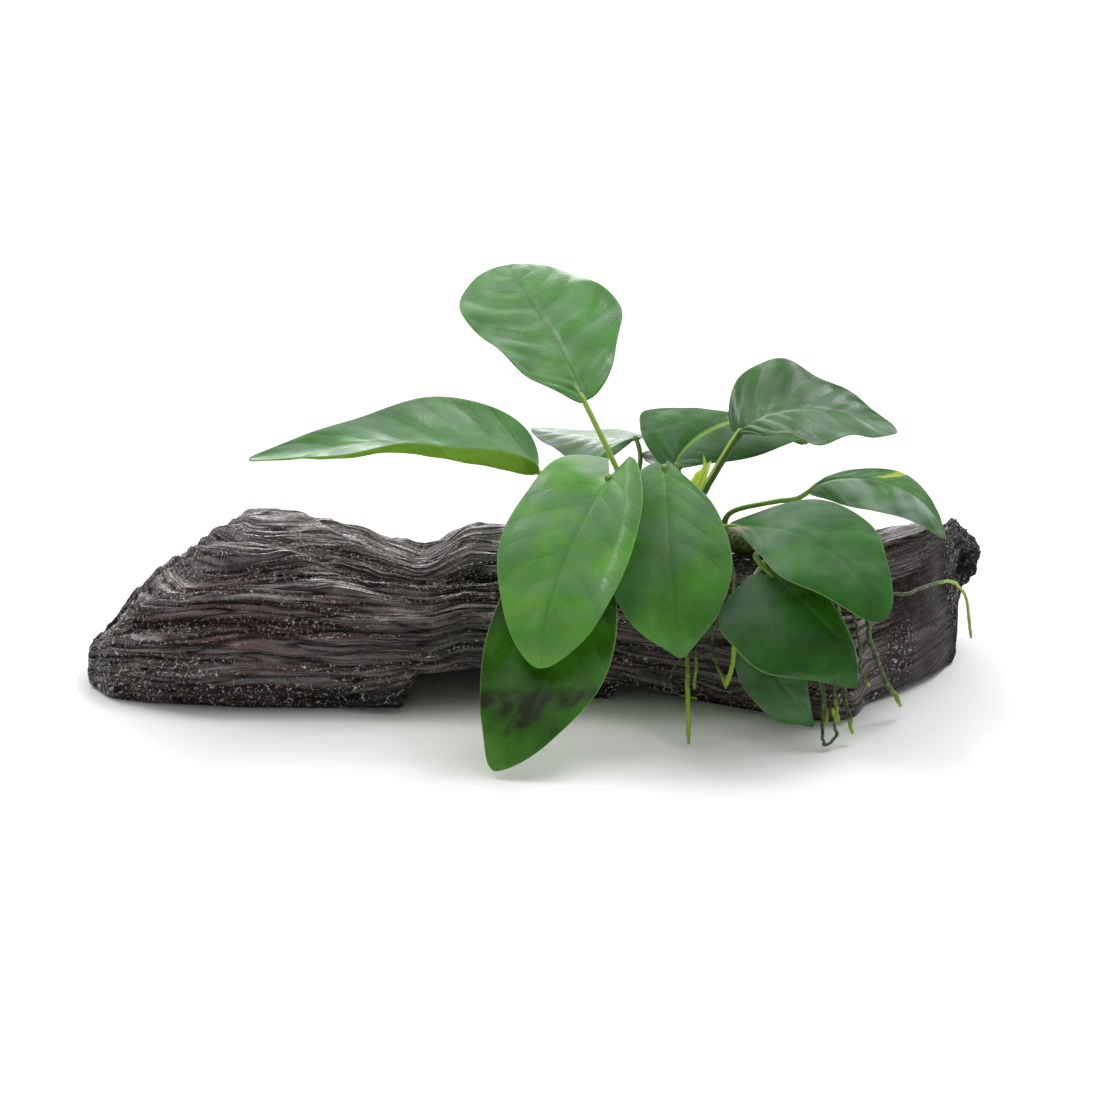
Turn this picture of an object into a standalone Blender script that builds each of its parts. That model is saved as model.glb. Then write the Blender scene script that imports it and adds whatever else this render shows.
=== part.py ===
"""Anubias nana growing on a piece of driftwood, in metres with +Z up.

The wood lies along X and rests on z = 0. The plant grows on its front and top.
+Y points away from the side shown here as the front. All tables below are in millimetres.
"""
import math

import bmesh
import bpy
import numpy as np
from mathutils import Vector

for old in list(bpy.data.objects):
    bpy.data.objects.remove(old, do_unlink=True)

MM = 0.001

# Driving dimensions of the wood
WOOD_LEFT = -117.5
WOOD_RIGHT = 112.5
WOOD_ALONG = 67
WOOD_AROUND = 30
WOOD_SEEN = 22
RIDGE_HEIGHT = 1.1
ARCH_HEIGHT = 11.3
STUB_Y = 18.5
STUB_Z = 26.5
END_SLANT = 3.6
# Each ring of the stub: how far it reaches out, then its width and height as parts of the wood's end
STUB_RINGS = [(0.8, 0.92, 0.94), (2.6, 0.70, 0.36), (4.8, 0.60, 0.31), (6.6, 0.42, 0.22), (7.8, 0.2, 0.11)]

# Driving dimensions of the plant
BLADE_THICK = 0.8
BLADE_ALONG = 10
BLADE_ACROSS = 6
STALK_SIDES = 6
ROOT_SIDES = 5
GAP = 0.3

# Sections of the wood from left to right:
# x, front foot y, back foot y, height of the top, y of the crest, squareness
SECTIONS = [
    (-117.5, -13.0, 2.0, 9.0, -6.0, 0.75),
    (-112.0, -22.0, 8.0, 13.5, -4.0, 0.75),
    (-101.0, -26.5, 20.0, 21.5, 2.0, 0.80),
    (-88.0, -29.0, 30.0, 34.0, 5.0, 0.85),
    (-76.0, -31.0, 35.0, 39.5, 7.0, 0.85),
    (-60.0, -31.5, 38.0, 39.0, 8.0, 0.85),
    (-40.0, -31.5, 39.0, 34.0, 8.0, 0.85),
    (-27.0, -31.0, 38.0, 33.5, 6.0, 0.85),
    (-18.0, -28.5, 37.0, 36.6, 4.0, 0.80),
    (-8.0, -26.0, 36.0, 34.5, 3.0, 0.75),
    (17.0, -24.0, 36.0, 34.0, 2.0, 0.70),
    (43.0, -25.5, 38.0, 34.0, 0.0, 0.62),
    (57.0, -32.0, 38.0, 34.5, -2.0, 0.56),
    (76.0, -39.5, 37.0, 33.0, -4.0, 0.50),
    (83.5, -36.0, 36.0, 32.5, -4.0, 0.45),
    (86.0, -27.0, 36.0, 32.5, -3.0, 0.42),
    (98.0, -17.5, 34.0, 35.0, 1.0, 0.38),
    (107.0, -7.5, 31.0, 36.0, 7.0, 0.36),
    (112.5, 3.5, 27.0, 35.0, 13.0, 0.36),
]


def smooth(a, b, x):
    """A soft step that is 0 before a and 1 after b."""
    t = np.clip((x - a) / (b - a), 0.0, 1.0)
    return t * t * (3.0 - 2.0 * t)


def hump(x, centre, half):
    """A soft bump of height 1 that ends at half a width on each side."""
    t = np.clip(np.abs((x - centre) / half), 0.0, 1.0)
    return (1.0 - t * t) ** 2


def section_at(x):
    """The section numbers at one place along the wood."""
    rows = np.array(SECTIONS)
    return [np.interp(x, rows[:, 0], rows[:, k]) for k in range(1, 6)]


def under_height(x, y):
    """How high the underside is lifted off the table at one place."""
    front = 1.0 - smooth(-14.0, 14.0, y)
    arch = ARCH_HEIGHT * smooth(-34.0, -31.0, x) * (1.0 - smooth(-14.0, -5.0, x))
    small_gap = 5.0 * smooth(19.0, 23.0, x) * (1.0 - smooth(24.0, 46.0, x))
    left_lip = 0.8 * hump(x, -119.0, 14.0)
    right_lip = 3.0 * hump(x, 103.0, 18.0)
    return front * (arch + small_gap) + left_lip + front * right_lip


def relief(x, turn):
    """Ridges, ledges and hollows of the wood, measured outward from its plain section.

    turn is 0 at the front, 90 on top, 180 at the back and -90 below.
    """
    pinch = 1.0 + 0.45 * hump(x, -18.0, 60.0)
    grain = math.radians(9.0 * (turn - 12.0) * pinch)
    grain += 0.9 * math.sin(x / 23.0) + 0.5 * math.sin(x / 9.0 + 1.0)
    ridges = RIDGE_HEIGHT * (math.sin(grain) - 0.4 * math.cos(2.0 * grain + x / 31.0))
    visible = smooth(-75.0, -45.0, turn) * (1.0 - smooth(200.0, 235.0, turn))
    ledge = 2.6 * hump(turn, -22.0 + 6.0 * math.sin(x / 30.0), 17.0) * smooth(-105.0, -85.0, x)
    ledge *= 1.0 - smooth(-28.0, -12.0, x)
    valley = -3.4 * hump(turn, 18.0, 16.0) * hump(x, -78.0, 42.0)
    hollow = -3.0 * hump(turn, 52.0, 20.0) * hump(x, -84.0, 30.0)
    pocket = -3.2 * hump(turn, 62.0, 18.0) * hump(x, -47.0, 16.0)
    under_bump = -3.0 * hump(turn, 52.0, 16.0) * hump(x, -17.0, 12.0)
    back_scoop = -4.0 * hump(turn, 165.0, 35.0) * hump(x, -20.0, 60.0)
    calm = (1.0 - 0.7 * smooth(84.0, 95.0, x)) * smooth(-125.0, -104.0, x)
    return visible * calm * (ridges + ledge + valley + hollow + pocket + under_bump + back_scoop)


def wood_point(x, turn):
    """One point of the wood's skin in millimetres."""
    front, back, top, crest, square = section_at(x)
    angle = math.radians(turn)
    c = math.cos(angle)
    s = math.sin(angle)
    middle = 0.5 * (front + back)
    half = 0.5 * (back - front)
    lower = s < 0.0
    behind = c < 0.0
    across = math.copysign(abs(c) ** (0.28 if lower else 0.9 if behind else square), c)
    rise = math.copysign(abs(s) ** square, s)
    y = middle - half * across
    z = 0.5 * top + 0.55 * top * rise - 0.05 * top
    y += (crest - middle) * max(0.0, rise) * 0.9
    out = relief(x, turn) * smooth(0.0, 3.0, z - under_height(x, y))
    y -= out * c
    z += out * max(s, -0.2)
    slant = END_SLANT * smooth(100.0, WOOD_RIGHT, x) * smooth(10.0, 26.0, z)
    return x - slant, y, max(z, under_height(x, y))


def body(name, slot, points, faces):
    """One closed named object from points in millimetres."""
    mesh = bpy.data.meshes.new(name)
    mesh.from_pydata([tuple(v * MM for v in p) for p in points], [], faces)
    bm = bmesh.new()
    bm.from_mesh(mesh)
    bmesh.ops.triangulate(bm, faces=[f for f in bm.faces if len(f.verts) > 3])
    bmesh.ops.recalc_face_normals(bm, faces=bm.faces)
    bm.to_mesh(mesh)
    bm.free()
    obj = bpy.data.objects.new(name, mesh)
    bpy.context.collection.objects.link(obj)
    mesh.materials.append(material(slot))
    return obj


SLOT_COLOURS = {
    "wet_driftwood": (0.035, 0.024, 0.019, 1.0),
    "leaf_blade": (0.045, 0.19, 0.03, 1.0),
    "leaf_stalk": (0.24, 0.42, 0.04, 1.0),
    "rhizome_skin": (0.16, 0.20, 0.05, 1.0),
    "bud_sheath": (0.48, 0.56, 0.04, 1.0),
    "root_skin": (0.22, 0.33, 0.05, 1.0),
}


def material(slot):
    """The slot's own material, made once."""
    found = bpy.data.materials.get(slot)
    if found:
        return found
    made = bpy.data.materials.new(slot)
    made.use_nodes = True
    shader = made.node_tree.nodes["Principled BSDF"]
    shader.inputs["Base Color"].default_value = SLOT_COLOURS[slot]
    shader.inputs["Roughness"].default_value = 0.4
    return made


def rings_to_faces(rings, sides):
    """Quads between rings and a fan at each end; two end points follow the rings."""
    faces = []
    for i in range(rings - 1):
        for j in range(sides):
            k = (j + 1) % sides
            faces.append((i * sides + j, i * sides + k, (i + 1) * sides + k, (i + 1) * sides + j))
    first = rings * sides
    last = first + 1
    for j in range(sides):
        k = (j + 1) % sides
        faces.append((first, k, j))
        faces.append((last, (rings - 1) * sides + j, (rings - 1) * sides + k))
    return faces


def build_wood():
    """The log: rings from left to right, then rings that shrink to a crumbled stub."""
    points = []
    xs = np.linspace(WOOD_LEFT, WOOD_RIGHT, WOOD_ALONG)
    seen = [-82.0 + 10.0 * k for k in range(WOOD_SEEN)]
    hidden = np.linspace(seen[-1], 278.0, WOOD_AROUND - WOOD_SEEN + 1, endpoint=False)[1:]
    turns = seen + [float(t) for t in hidden]
    for i, x in enumerate(xs):
        for turn in turns:
            points.append(wood_point(float(x), turn))
    end_ring = [wood_point(WOOD_RIGHT, turn) for turn in turns]
    end_y = sum(p[1] for p in end_ring) / WOOD_AROUND
    end_z = sum(p[2] for p in end_ring) / WOOD_AROUND
    for reach, wide, tall in STUB_RINGS:
        moved = min(1.0, max(0.0, reach - 0.8) / 1.4)
        middle_y = end_y + moved * (STUB_Y - end_y)
        middle_z = end_z + moved * (STUB_Z - end_z)
        for x, y, z in end_ring:
            angle = math.atan2(z - end_z, y - end_y)
            rough = 0.06 * math.sin(5.0 * angle + reach) + 0.04 * math.sin(9.0 * angle - 2.0 * reach)
            spread = 1.0 + moved * rough
            ragged = 0.3 * math.sin(6.0 * angle + 3.0 * reach)
            out_x = x + reach + moved * (WOOD_RIGHT - x + ragged)
            out_y = middle_y + (y - end_y) * wide * spread
            out_z = middle_z + (z - end_z) * tall * spread
            points.append((out_x, out_y, out_z))
    rings = WOOD_ALONG + len(STUB_RINGS)
    left_middle = (WOOD_LEFT - 0.8, -6.0, 4.5)
    stub_end = (WOOD_RIGHT + STUB_RINGS[-1][0] + 0.5, STUB_Y, STUB_Z)
    points += [left_middle, stub_end]
    return body("driftwood", "wet_driftwood", points, rings_to_faces(rings, WOOD_AROUND))


def through(points, t):
    """The smooth curve through four points spaced evenly from t = 0 to t = 1."""
    p = [Vector(q) for q in points]
    b, c, d = t - 1.0 / 3.0, t - 2.0 / 3.0, t - 1.0
    weights = (-4.5 * b * c * d, 13.5 * t * c * d, -13.5 * t * b * d, 4.5 * t * b * c)
    return sum((weight * place for weight, place in zip(weights, p)), Vector((0.0, 0.0, 0.0)))


# Each leaf: four points along the midrib from base to tip and the way its upper face looks.
# left and right are the half widths at five places between base and tip, seen with the tip up.
# Each side also has how far it bends up, how far its lobe reaches back and how much its margin curls.
LEAVES = {
    "top": dict(
        rib=[(13, 8, 73), (7, 24, 82), (-1, 42, 90), (-7.5, 60, 96)], face=(0.1, -0.85, 0.5),
        left=(5, 12, 16, 18.7, 11), right=(6, 13.5, 21.5, 16.5, 9.5), bend=(0.08, -0.10), lobe=(1, 0),
        curl=(0.0, 0.0), wave=0.9, waves=3.0,
        stalk=[(26, -4, 43), (24, -4, 51.5), (20.5, -2, 59.5)], thick=1.5),
    "left": dict(
        rib=[(1, -18, 62), (-24, -20, 69.2), (-47, -24, 70.8), (-72, -30, 69)], face=(-0.1, -0.05, 1.0),
        left=(11, 13, 13, 11, 4), right=(14, 19, 13.5, 6.5, 2.5), bend=(0.06, 0.40), lobe=(0, 0),
        curl=(0.36, 0.0), wave=0.6, waves=2.5,
        stalk=[(25, -8, 43), (19, -12, 52), (10, -16, 58)], thick=1.5),
    "front_left": dict(
        rib=[(19, -34, 66), (11, -48, 57), (4, -60, 43), (2, -66, 27)], face=(-0.1, -0.75, 0.65),
        left=(6.5, 13.8, 16, 12.7, 6.3), right=(13.5, 16.7, 17, 11, 4.7), bend=(-0.06, -0.08), lobe=(9, 6),
        curl=(0.4, 0.0), wave=0.6, waves=2.0,
        stalk=[(29, -9, 43), (27, -18, 53), (23, -28, 61)], thick=1.6),
    "front_right": dict(
        rib=[(33, -26, 66), (34, -40, 54), (35, -50, 39), (37, -54, 25)], face=(0.0, -0.8, 0.6),
        left=(4, 12.2, 15.2, 11, 4), right=(8, 13, 16, 11.8, 3.4), bend=(-0.08, -0.10), lobe=(2, 2),
        curl=(0.0, 0.0), wave=0.4, waves=2.0,
        stalk=[(36, -9, 43), (36, -14, 52), (34, -20, 60)], thick=1.5),
    "low_front": dict(
        rib=[(8, -34, 44), (6, -52, 32), (0, -66, 17), (-10.5, -71, 2.2)], face=(-0.2, -0.85, 0.45),
        left=(9, 14, 14.3, 8, 3.2), right=(9, 14.5, 16, 12.5, 5.8), bend=(-0.05, 0.06), lobe=(3, 3),
        curl=(0.0, 0.3), wave=0.3, waves=2.0,
        stalk=[(28, -5, 40), (19, -20, 46), (11, -27, 49)], thick=1.5),
    "back_left": dict(
        rib=[(27, 16, 60), (19, 26, 57.3), (9, 36, 55.3), (-1, 46, 53)], face=(0.0, 0.15, 1.0),
        left=(10.5, 10.5, 8.6, 5, 2), right=(3.5, 11, 12, 7, 3), bend=(-0.60, -0.05), lobe=(0, 1),
        curl=(0.0, 0.0), wave=0.5, waves=2.0,
        stalk=[(24, -5, 40), (25.5, 3, 48), (28, 9.5, 55.5)], thick=1.3),
    "middle": dict(
        rib=[(37, -4, 59), (43, 6, 63), (58, 23, 63.3), (74, 38, 51)], face=(0.46, -0.55, 0.66),
        left=(5, 14, 22, 10, 4), right=(2.5, 7, 16, 15, 5), bend=(-0.35, 0.02), lobe=(2, 1),
        face_tip=(-0.25, -0.05, 1.0), curl=(0.0, 0.0), wave=0.6, waves=2.0,
        stalk=[(39, -5, 43), (38, -7, 50), (37, -6, 55)], thick=1.5),
    "inner": dict(
        rib=[(38, 9, 54), (36, 14.5, 55), (34, 20, 55), (32, 26, 53)], face=(-0.2, 0.1, 1.0),
        left=(3.5, 6, 6.5, 5, 3), right=(3.5, 5.5, 6, 5, 3), bend=(0.1, 0.1), lobe=(1, 1),
        curl=(0.0, 0.0), wave=0.3, waves=2.0,
        stalk=[(35, -3, 43), (37.5, 1, 48), (38.5, 5, 52)], thick=1.1),
    "right_top": dict(
        rib=[(53, -2, 67), (64, -2, 73), (80, 0, 72), (95, 4, 66)], face=(-0.1, -0.25, 1.0),
        left=(10, 20, 17.5, 8.3, 3.5), right=(3.5, 9.5, 14.8, 9.5, 4.5), bend=(0.18, -0.05), lobe=(1, 0),
        curl=(0.0, 0.0), wave=1.1, waves=3.0,
        stalk=[(40, -11, 42), (43, -11, 52), (48, -7, 60)], thick=2.1),
    "far_right": dict(
        rib=[(72, -16, 57), (84, -18, 60), (96, -22, 57), (105, -27, 47)], face=(0.2, -0.1, 1.0),
        left=(1.5, 5, 8.3, 5.5, 1.2), right=(3.8, 8, 9.3, 6, 2.5), bend=(0.08, -0.50), lobe=(2, 2),
        curl=(0.0, 0.0), wave=0.3, waves=2.0,
        stalk=[(49, -8, 41), (50.5, -20, 51.5), (61, -20, 54.3), (67.5, -18, 54.6)], thick=1.3),
    "right_mid": dict(
        rib=[(51, -26, 50), (66, -38, 52), (78, -50, 48), (86, -58, 36.3)], face=(0.15, -0.45, 0.9),
        left=(5.5, 17, 16.5, 10, 5.3), right=(3, 10, 15.7, 11, 5.7), bend=(-0.05, -0.08), lobe=(2, 2),
        curl=(0.0, 0.0), wave=0.3, waves=2.0,
        stalk=[(46, -10, 41), (46, -19, 47), (48, -24, 49)], thick=1.4),
    "right_low": dict(
        rib=[(59.5, -41, 42.5), (67, -47, 37), (75.5, -52, 29), (80.5, -55.5, 17.5)], face=(0.1, -0.8, 0.6),
        left=(4, 7, 5.5, 3.3, 1), right=(17, 20, 19.8, 13.8, 6.5), bend=(-0.05, -0.08), lobe=(2, 3),
        curl=(0.0, 0.0), wave=0.3, waves=2.0,
        stalk=[(62, -9, 38), (60.5, -23, 43), (56, -35.5, 45.2)], thick=1.4),
    "bottom_right": dict(
        rib=[(56, -40, 25), (60, -46, 18.5), (65, -51, 12.5), (70.5, -51, 5)], face=(-0.25, -0.9, 0.4),
        left=(3, 6.5, 7, 3.7, 1.2), right=(6, 8.6, 8.1, 6.6, 2), bend=(0.0, -0.10), lobe=(1, 1),
        curl=(0.0, 0.0), wave=0.2, waves=2.0,
        stalk=[(62, -12, 38), (55, -34, 37), (54, -38, 31)], thick=1.2),
}


def half_width(widths, t):
    """The blade's half width at t, on a soft curve that starts and ends round at 0."""
    k = [-widths[0], 0.0] + list(widths) + [0.0, -widths[-1]]
    at = math.acos(min(1.0, max(-1.0, 1.0 - 2.0 * t))) / math.pi * (len(widths) + 1)
    n = min(int(at), len(widths))
    f = at - n
    a, b, c, d = k[n:n + 4]
    return b + 0.5 * f * (c - a + f * (2.0 * a - 5.0 * b + 4.0 * c - d + f * (3.0 * (b - c) + d - a)))


def blade_point(leaf, t, side):
    """A point of the blade's middle surface and its upward direction.

    t runs from base to tip, side from -1 at the left margin to 1 at the right.
    """
    ahead = through(leaf["rib"], min(1.0, t + 0.01))
    behind = through(leaf["rib"], max(0.0, t - 0.01))
    along = (ahead - behind).normalized()
    face = Vector(leaf["face"]).lerp(Vector(leaf.get("face_tip", leaf["face"])), t)
    across = along.cross(face).normalized()
    up = across.cross(along).normalized()
    k = 0 if side < 0 else 1
    width = half_width(leaf["right" if k else "left"], t)
    reach = width * abs(side)
    back = -leaf["lobe"][k] * abs(side) ** 1.5 * (1.0 - t) ** 5
    ripple = leaf["wave"] * math.sin(2.0 * math.pi * leaf["waves"] * t + (0.0 if side < 0 else 1.6))
    roll = leaf["curl"][k] * width * max(0.0, abs(side) - 0.6) ** 2 * 9.0 * (1.0 - t)
    lift = leaf["bend"][k] * reach * abs(side) + roll + ripple * side * side * math.sin(math.pi * t)
    sign = -1.0 if side < 0 else 1.0
    return through(leaf["rib"], t) + across * (sign * reach) + up * lift + along * back, up


def build_blade(name, leaf):
    """One closed blade with a top skin and an under skin that meet at the margin."""
    turns = [math.pi * i / (BLADE_ALONG - 1) for i in range(BLADE_ALONG)]
    ts = [0.5 - 0.488 * math.cos(turn) for turn in turns]
    sides = [-1.0 + 2.0 * j / BLADE_ACROSS for j in range(BLADE_ACROSS + 1)]
    points = []
    for t in ts:
        ring = []
        under = []
        for side in sides:
            middle, up = blade_point(leaf, t, side)
            edge = abs(side) == 1.0
            thick = BLADE_THICK * (0.25 if edge else 0.5 + 0.25 * (1.0 - abs(side)))
            ring.append(tuple(middle + up * thick))
            under.append(tuple(middle - up * thick))
        points += ring + under[::-1]
    base = through(leaf["rib"], 0.0)
    tip = through(leaf["rib"], 1.0)
    points += [tuple(base), tuple(tip)]
    return body("leaf_" + name, "leaf_blade", points, rings_to_faces(len(ts), 2 * len(sides)))


def tube(name, slot, path, radii, sides):
    """A closed round strand along a path."""
    path = [Vector(p) for p in path]
    points = []
    for i, place in enumerate(path):
        along = (path[min(i + 1, len(path) - 1)] - path[max(i - 1, 0)]).normalized()
        guide = Vector((0.0, 1.0, 0.0)) if abs(along.y) < 0.9 else Vector((1.0, 0.0, 0.0))
        a = along.cross(guide).normalized()
        b = along.cross(a)
        for j in range(sides):
            turn = 2.0 * math.pi * j / sides
            points.append(tuple(place + (a * math.cos(turn) + b * math.sin(turn)) * radii[i]))
    first = path[0] + (path[0] - path[1]).normalized() * radii[0] * 0.5
    last = path[-1] + (path[-1] - path[-2]).normalized() * radii[-1] * 0.6
    points += [tuple(first), tuple(last)]
    return body(name, slot, points, rings_to_faces(len(path), sides))


def smooth_path(knots, count):
    """Evenly numbered points on a soft curve that passes through the knots."""
    k = [Vector(q) for q in knots]
    k = [k[0] * 2 - k[1]] + k + [k[-1] * 2 - k[-2]]
    path = []
    for i in range(count):
        at = (len(k) - 3) * i / (count - 1)
        n = min(int(at), len(k) - 4)
        f = at - n
        p0, p1, p2, p3 = k[n:n + 4]
        steep = 2 * p0 - 5 * p1 + 4 * p2 - p3 + f * (3 * (p1 - p2) + p3 - p0)
        path.append(p1 + 0.5 * f * (p2 - p0 + f * steep))
    return path


RHIZOME = [(21, -5, 39), (34, -5, 39.5), (44, -6, 39.5), (53, -7, 39), (64, -9, 38), (76, -13, 36.5)]
RHIZOME_RADIUS = 3.4


def leave_rhizome(knots, radius):
    """The same knots with a first one that stands just off the rhizome's skin."""
    towards = Vector(knots[1])
    line = smooth_path(RHIZOME, 60)
    start = min(line, key=lambda q: (q - Vector(knots[0])).length)
    way = (towards - start).normalized()
    while min((start - q).length for q in line) < RHIZOME_RADIUS + GAP + radius:
        start = start + way * 0.1
    return [tuple(start)] + knots[1:]


def build_stalk(name, leaf):
    """The stalk from the rhizome to just short of the blade's base."""
    base = through(leaf["rib"], 0.0)
    before = (base - Vector(leaf["stalk"][-1])).normalized()
    end = base - before * (GAP + 1.0)
    r = 0.5 * leaf["thick"]
    path = smooth_path(leave_rhizome(leaf["stalk"] + [tuple(end)], r), 5)
    return tube("stalk_" + name, "leaf_stalk", path, [r * 1.3, r * 1.1, r, r * 0.95, r * 0.6], STALK_SIDES)


def build_rhizome():
    """The creeping stem on top of the wood with rings of old leaf scars."""
    path = smooth_path(RHIZOME, 15)
    radii = [RHIZOME_RADIUS * (1.0 if i % 2 else 0.84) for i in range(15)]
    radii[0] *= 0.7
    radii[-1] *= 0.7
    return tube("rhizome", "rhizome_skin", path, radii, 8)


# Each root: knots of its path and its thickness at the start and the end.
ROOTS = {
    "long": (
        [(38, -5, 39), (39, -16, 37.5), (38.5, -27, 34), (39, -33, 27), (39, -40, 19), (39, -53, 1.2)],
        1.5, 1.3),
    "curl": (
        [(37, -29, 31), (38.5, -34, 24), (38, -36, 18), (35, -36, 13), (35.5, -35, 8), (42, -34, 5.5)],
        0.8, 0.7),
    "short": (
        [(42, -6, 39), (42, -18, 37), (42, -29, 33), (41.3, -35, 24), (41, -38, 10)],
        1.0, 0.9),
    "fork_left": (
        [(46, -6, 39), (46, -19, 37), (45.5, -31, 32), (45.5, -37, 21), (49, -40, 11)],
        1.1, 1.0),
    "fork_right": (
        [(50, -7, 39), (51, -21, 37), (51, -36, 33), (50.5, -42, 22), (49, -41.8, 12.5)],
        1.4, 1.5),
    "bunch_a": (
        [(67, -10, 37), (69, -26, 37), (71.5, -43, 31), (73, -48, 14), (74, -50.5, 5)],
        1.2, 1.0),
    "bunch_loop": (
        [(71, -46, 27), (72.2, -50.5, 14), (72.6, -53.5, 5), (73.4, -55, 1.8), (76.2, -53, 4), (75.2, -51, 10)],
        1.0, 0.9),
    "bunch_b": (
        [(70, -11, 37), (73, -27, 36.5), (74.5, -43, 30), (75.5, -48, 14), (77, -50, 6)],
        1.6, 1.3),
    "bunch_c": (
        [(73, -12, 37), (76, -28, 36), (78, -44, 28), (78.8, -48, 12), (80.5, -51, 3)],
        1.3, 1.2),
    "right_pair": (
        [(77, -13, 36), (83, -26, 36), (84, -41, 31), (86.5, -39.5, 20), (94.5, -34, 3.5)],
        1.6, 1.4),
    "right_side": (
        [(80.5, -43, 33), (82.3, -44, 24), (83, -43, 17), (85.5, -41, 12)],
        0.9, 0.8),
    "long_right": (
        [(90, -30, 33), (96, -26, 31.5), (102, -19, 31), (110, -8, 28), (114.8, -3.5, 21), (116.6, -1.5, 9.5)],
        1.1, 1.0),
}
FREE_ROOTS = ("curl", "bunch_loop", "right_side", "long_right")


def build_root(name, knots, start, end):
    """One root as a thin tapering strand."""
    count = 2 * len(knots) - 1
    if name not in FREE_ROOTS:
        knots = leave_rhizome(knots, 0.5 * start)
    path = smooth_path(knots, count)
    radii = [0.5 * (start + (end - start) * i / (count - 1)) for i in range(count)]
    return tube("root_" + name, "root_skin", path, radii, ROOT_SIDES)


def build_sheaths():
    """Two small bud sheaths beside the right-hand stalk."""
    tube("sheath_large", "bud_sheath", smooth_path([(39.5, -17, 53), (42, -15, 58), (45.5, -13, 63)], 5),
         [1.0, 1.6, 1.7, 1.2, 0.4], 6)
    tube("sheath_hook", "bud_sheath", smooth_path([(41.5, -19, 56), (43.6, -17, 62), (43.4, -17, 66)], 5),
         [0.7, 0.8, 0.6, 0.45, 0.3], 5)


def main():
    build_wood()
    build_rhizome()
    for name, leaf in LEAVES.items():
        build_blade(name, leaf)
        build_stalk(name, leaf)
    for name, (knots, start, end) in ROOTS.items():
        build_root(name, knots, start, end)
    build_sheaths()


main()
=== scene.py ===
# %% [markdown]
# # Anubias nana on driftwood
#
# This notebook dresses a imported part: a small aquarium plant whose creeping stem has taken hold of
# a dark, wet piece of driftwood. The part's solids are coarse. Here every one of them is rebuilt
# with the same centre lines and sections but a much finer surface, and gets a material made from
# nodes alone. All tables are in millimetres, +X points right, +Y away from the camera and +Z up.

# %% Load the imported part
import math

import bpy
import numpy as np
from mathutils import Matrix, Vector, noise


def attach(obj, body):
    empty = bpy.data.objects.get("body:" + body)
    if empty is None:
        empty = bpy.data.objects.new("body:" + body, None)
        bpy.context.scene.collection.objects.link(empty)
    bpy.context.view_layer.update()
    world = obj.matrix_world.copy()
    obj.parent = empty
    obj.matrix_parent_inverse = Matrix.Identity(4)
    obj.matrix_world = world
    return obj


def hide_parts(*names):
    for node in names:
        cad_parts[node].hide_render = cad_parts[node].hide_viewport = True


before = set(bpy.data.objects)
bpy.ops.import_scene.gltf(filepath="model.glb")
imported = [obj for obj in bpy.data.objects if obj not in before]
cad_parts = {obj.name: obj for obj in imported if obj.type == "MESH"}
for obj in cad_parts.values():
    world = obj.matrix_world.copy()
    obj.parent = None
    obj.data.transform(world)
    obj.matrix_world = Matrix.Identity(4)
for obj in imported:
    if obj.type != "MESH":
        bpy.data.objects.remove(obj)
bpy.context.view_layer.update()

MM = 0.001
print("solids:", len(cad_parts))

# %% [markdown]
# ## Small tools
#
# `smooth` and `hump` are the soft step and the soft bump that shape everything below, and `field`
# is the noise that makes it uneven. All three work on whole arrays. Blender's noise keeps close to
# 0, so it is stretched to use more of the range from -1 to 1.

# %% Soft steps, soft bumps and noise
NOISE_GAIN = 2.2
SEED_STEP = 31.7


def smooth(a, b, x):
    """A soft step that is 0 before a and 1 after b."""
    t = np.clip((x - a) / (b - a), 0.0, 1.0)
    return t * t * (3.0 - 2.0 * t)


def hump(x, centre, half):
    """A soft bump of height 1 that ends half a width from its centre."""
    t = np.clip(np.abs((x - centre) / half), 0.0, 1.0)
    return (1.0 - t * t) ** 2


def field(a, b, c, seed):
    """Smooth noise between -1 and 1 for arrays of coordinates; the seed picks the pattern."""
    a, b, c = np.broadcast_arrays(a, b, c)
    spots = zip(a.ravel().tolist(), b.ravel().tolist(), c.ravel().tolist())
    values = [noise.noise(Vector((p, q, r + SEED_STEP * seed))) for p, q, r in spots]
    return np.clip(NOISE_GAIN * np.array(values).reshape(a.shape), -1.0, 1.0)


print("a soft step half way and a bump at its centre:", smooth(0.0, 1.0, 0.5), hump(0.0, 0.0, 1.0))

# %% [markdown]
# A piece is a stack of closed rings. `skin` turns an array of shape (rings, sides, 3) into one mesh
# with a fan at each end, a UV map and any named values per vertex, and smooths its shading. Each
# piece rides on the part's only body and stands in for its solid.

# %% Turn stacks of rings into meshes
made_pieces = []


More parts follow.
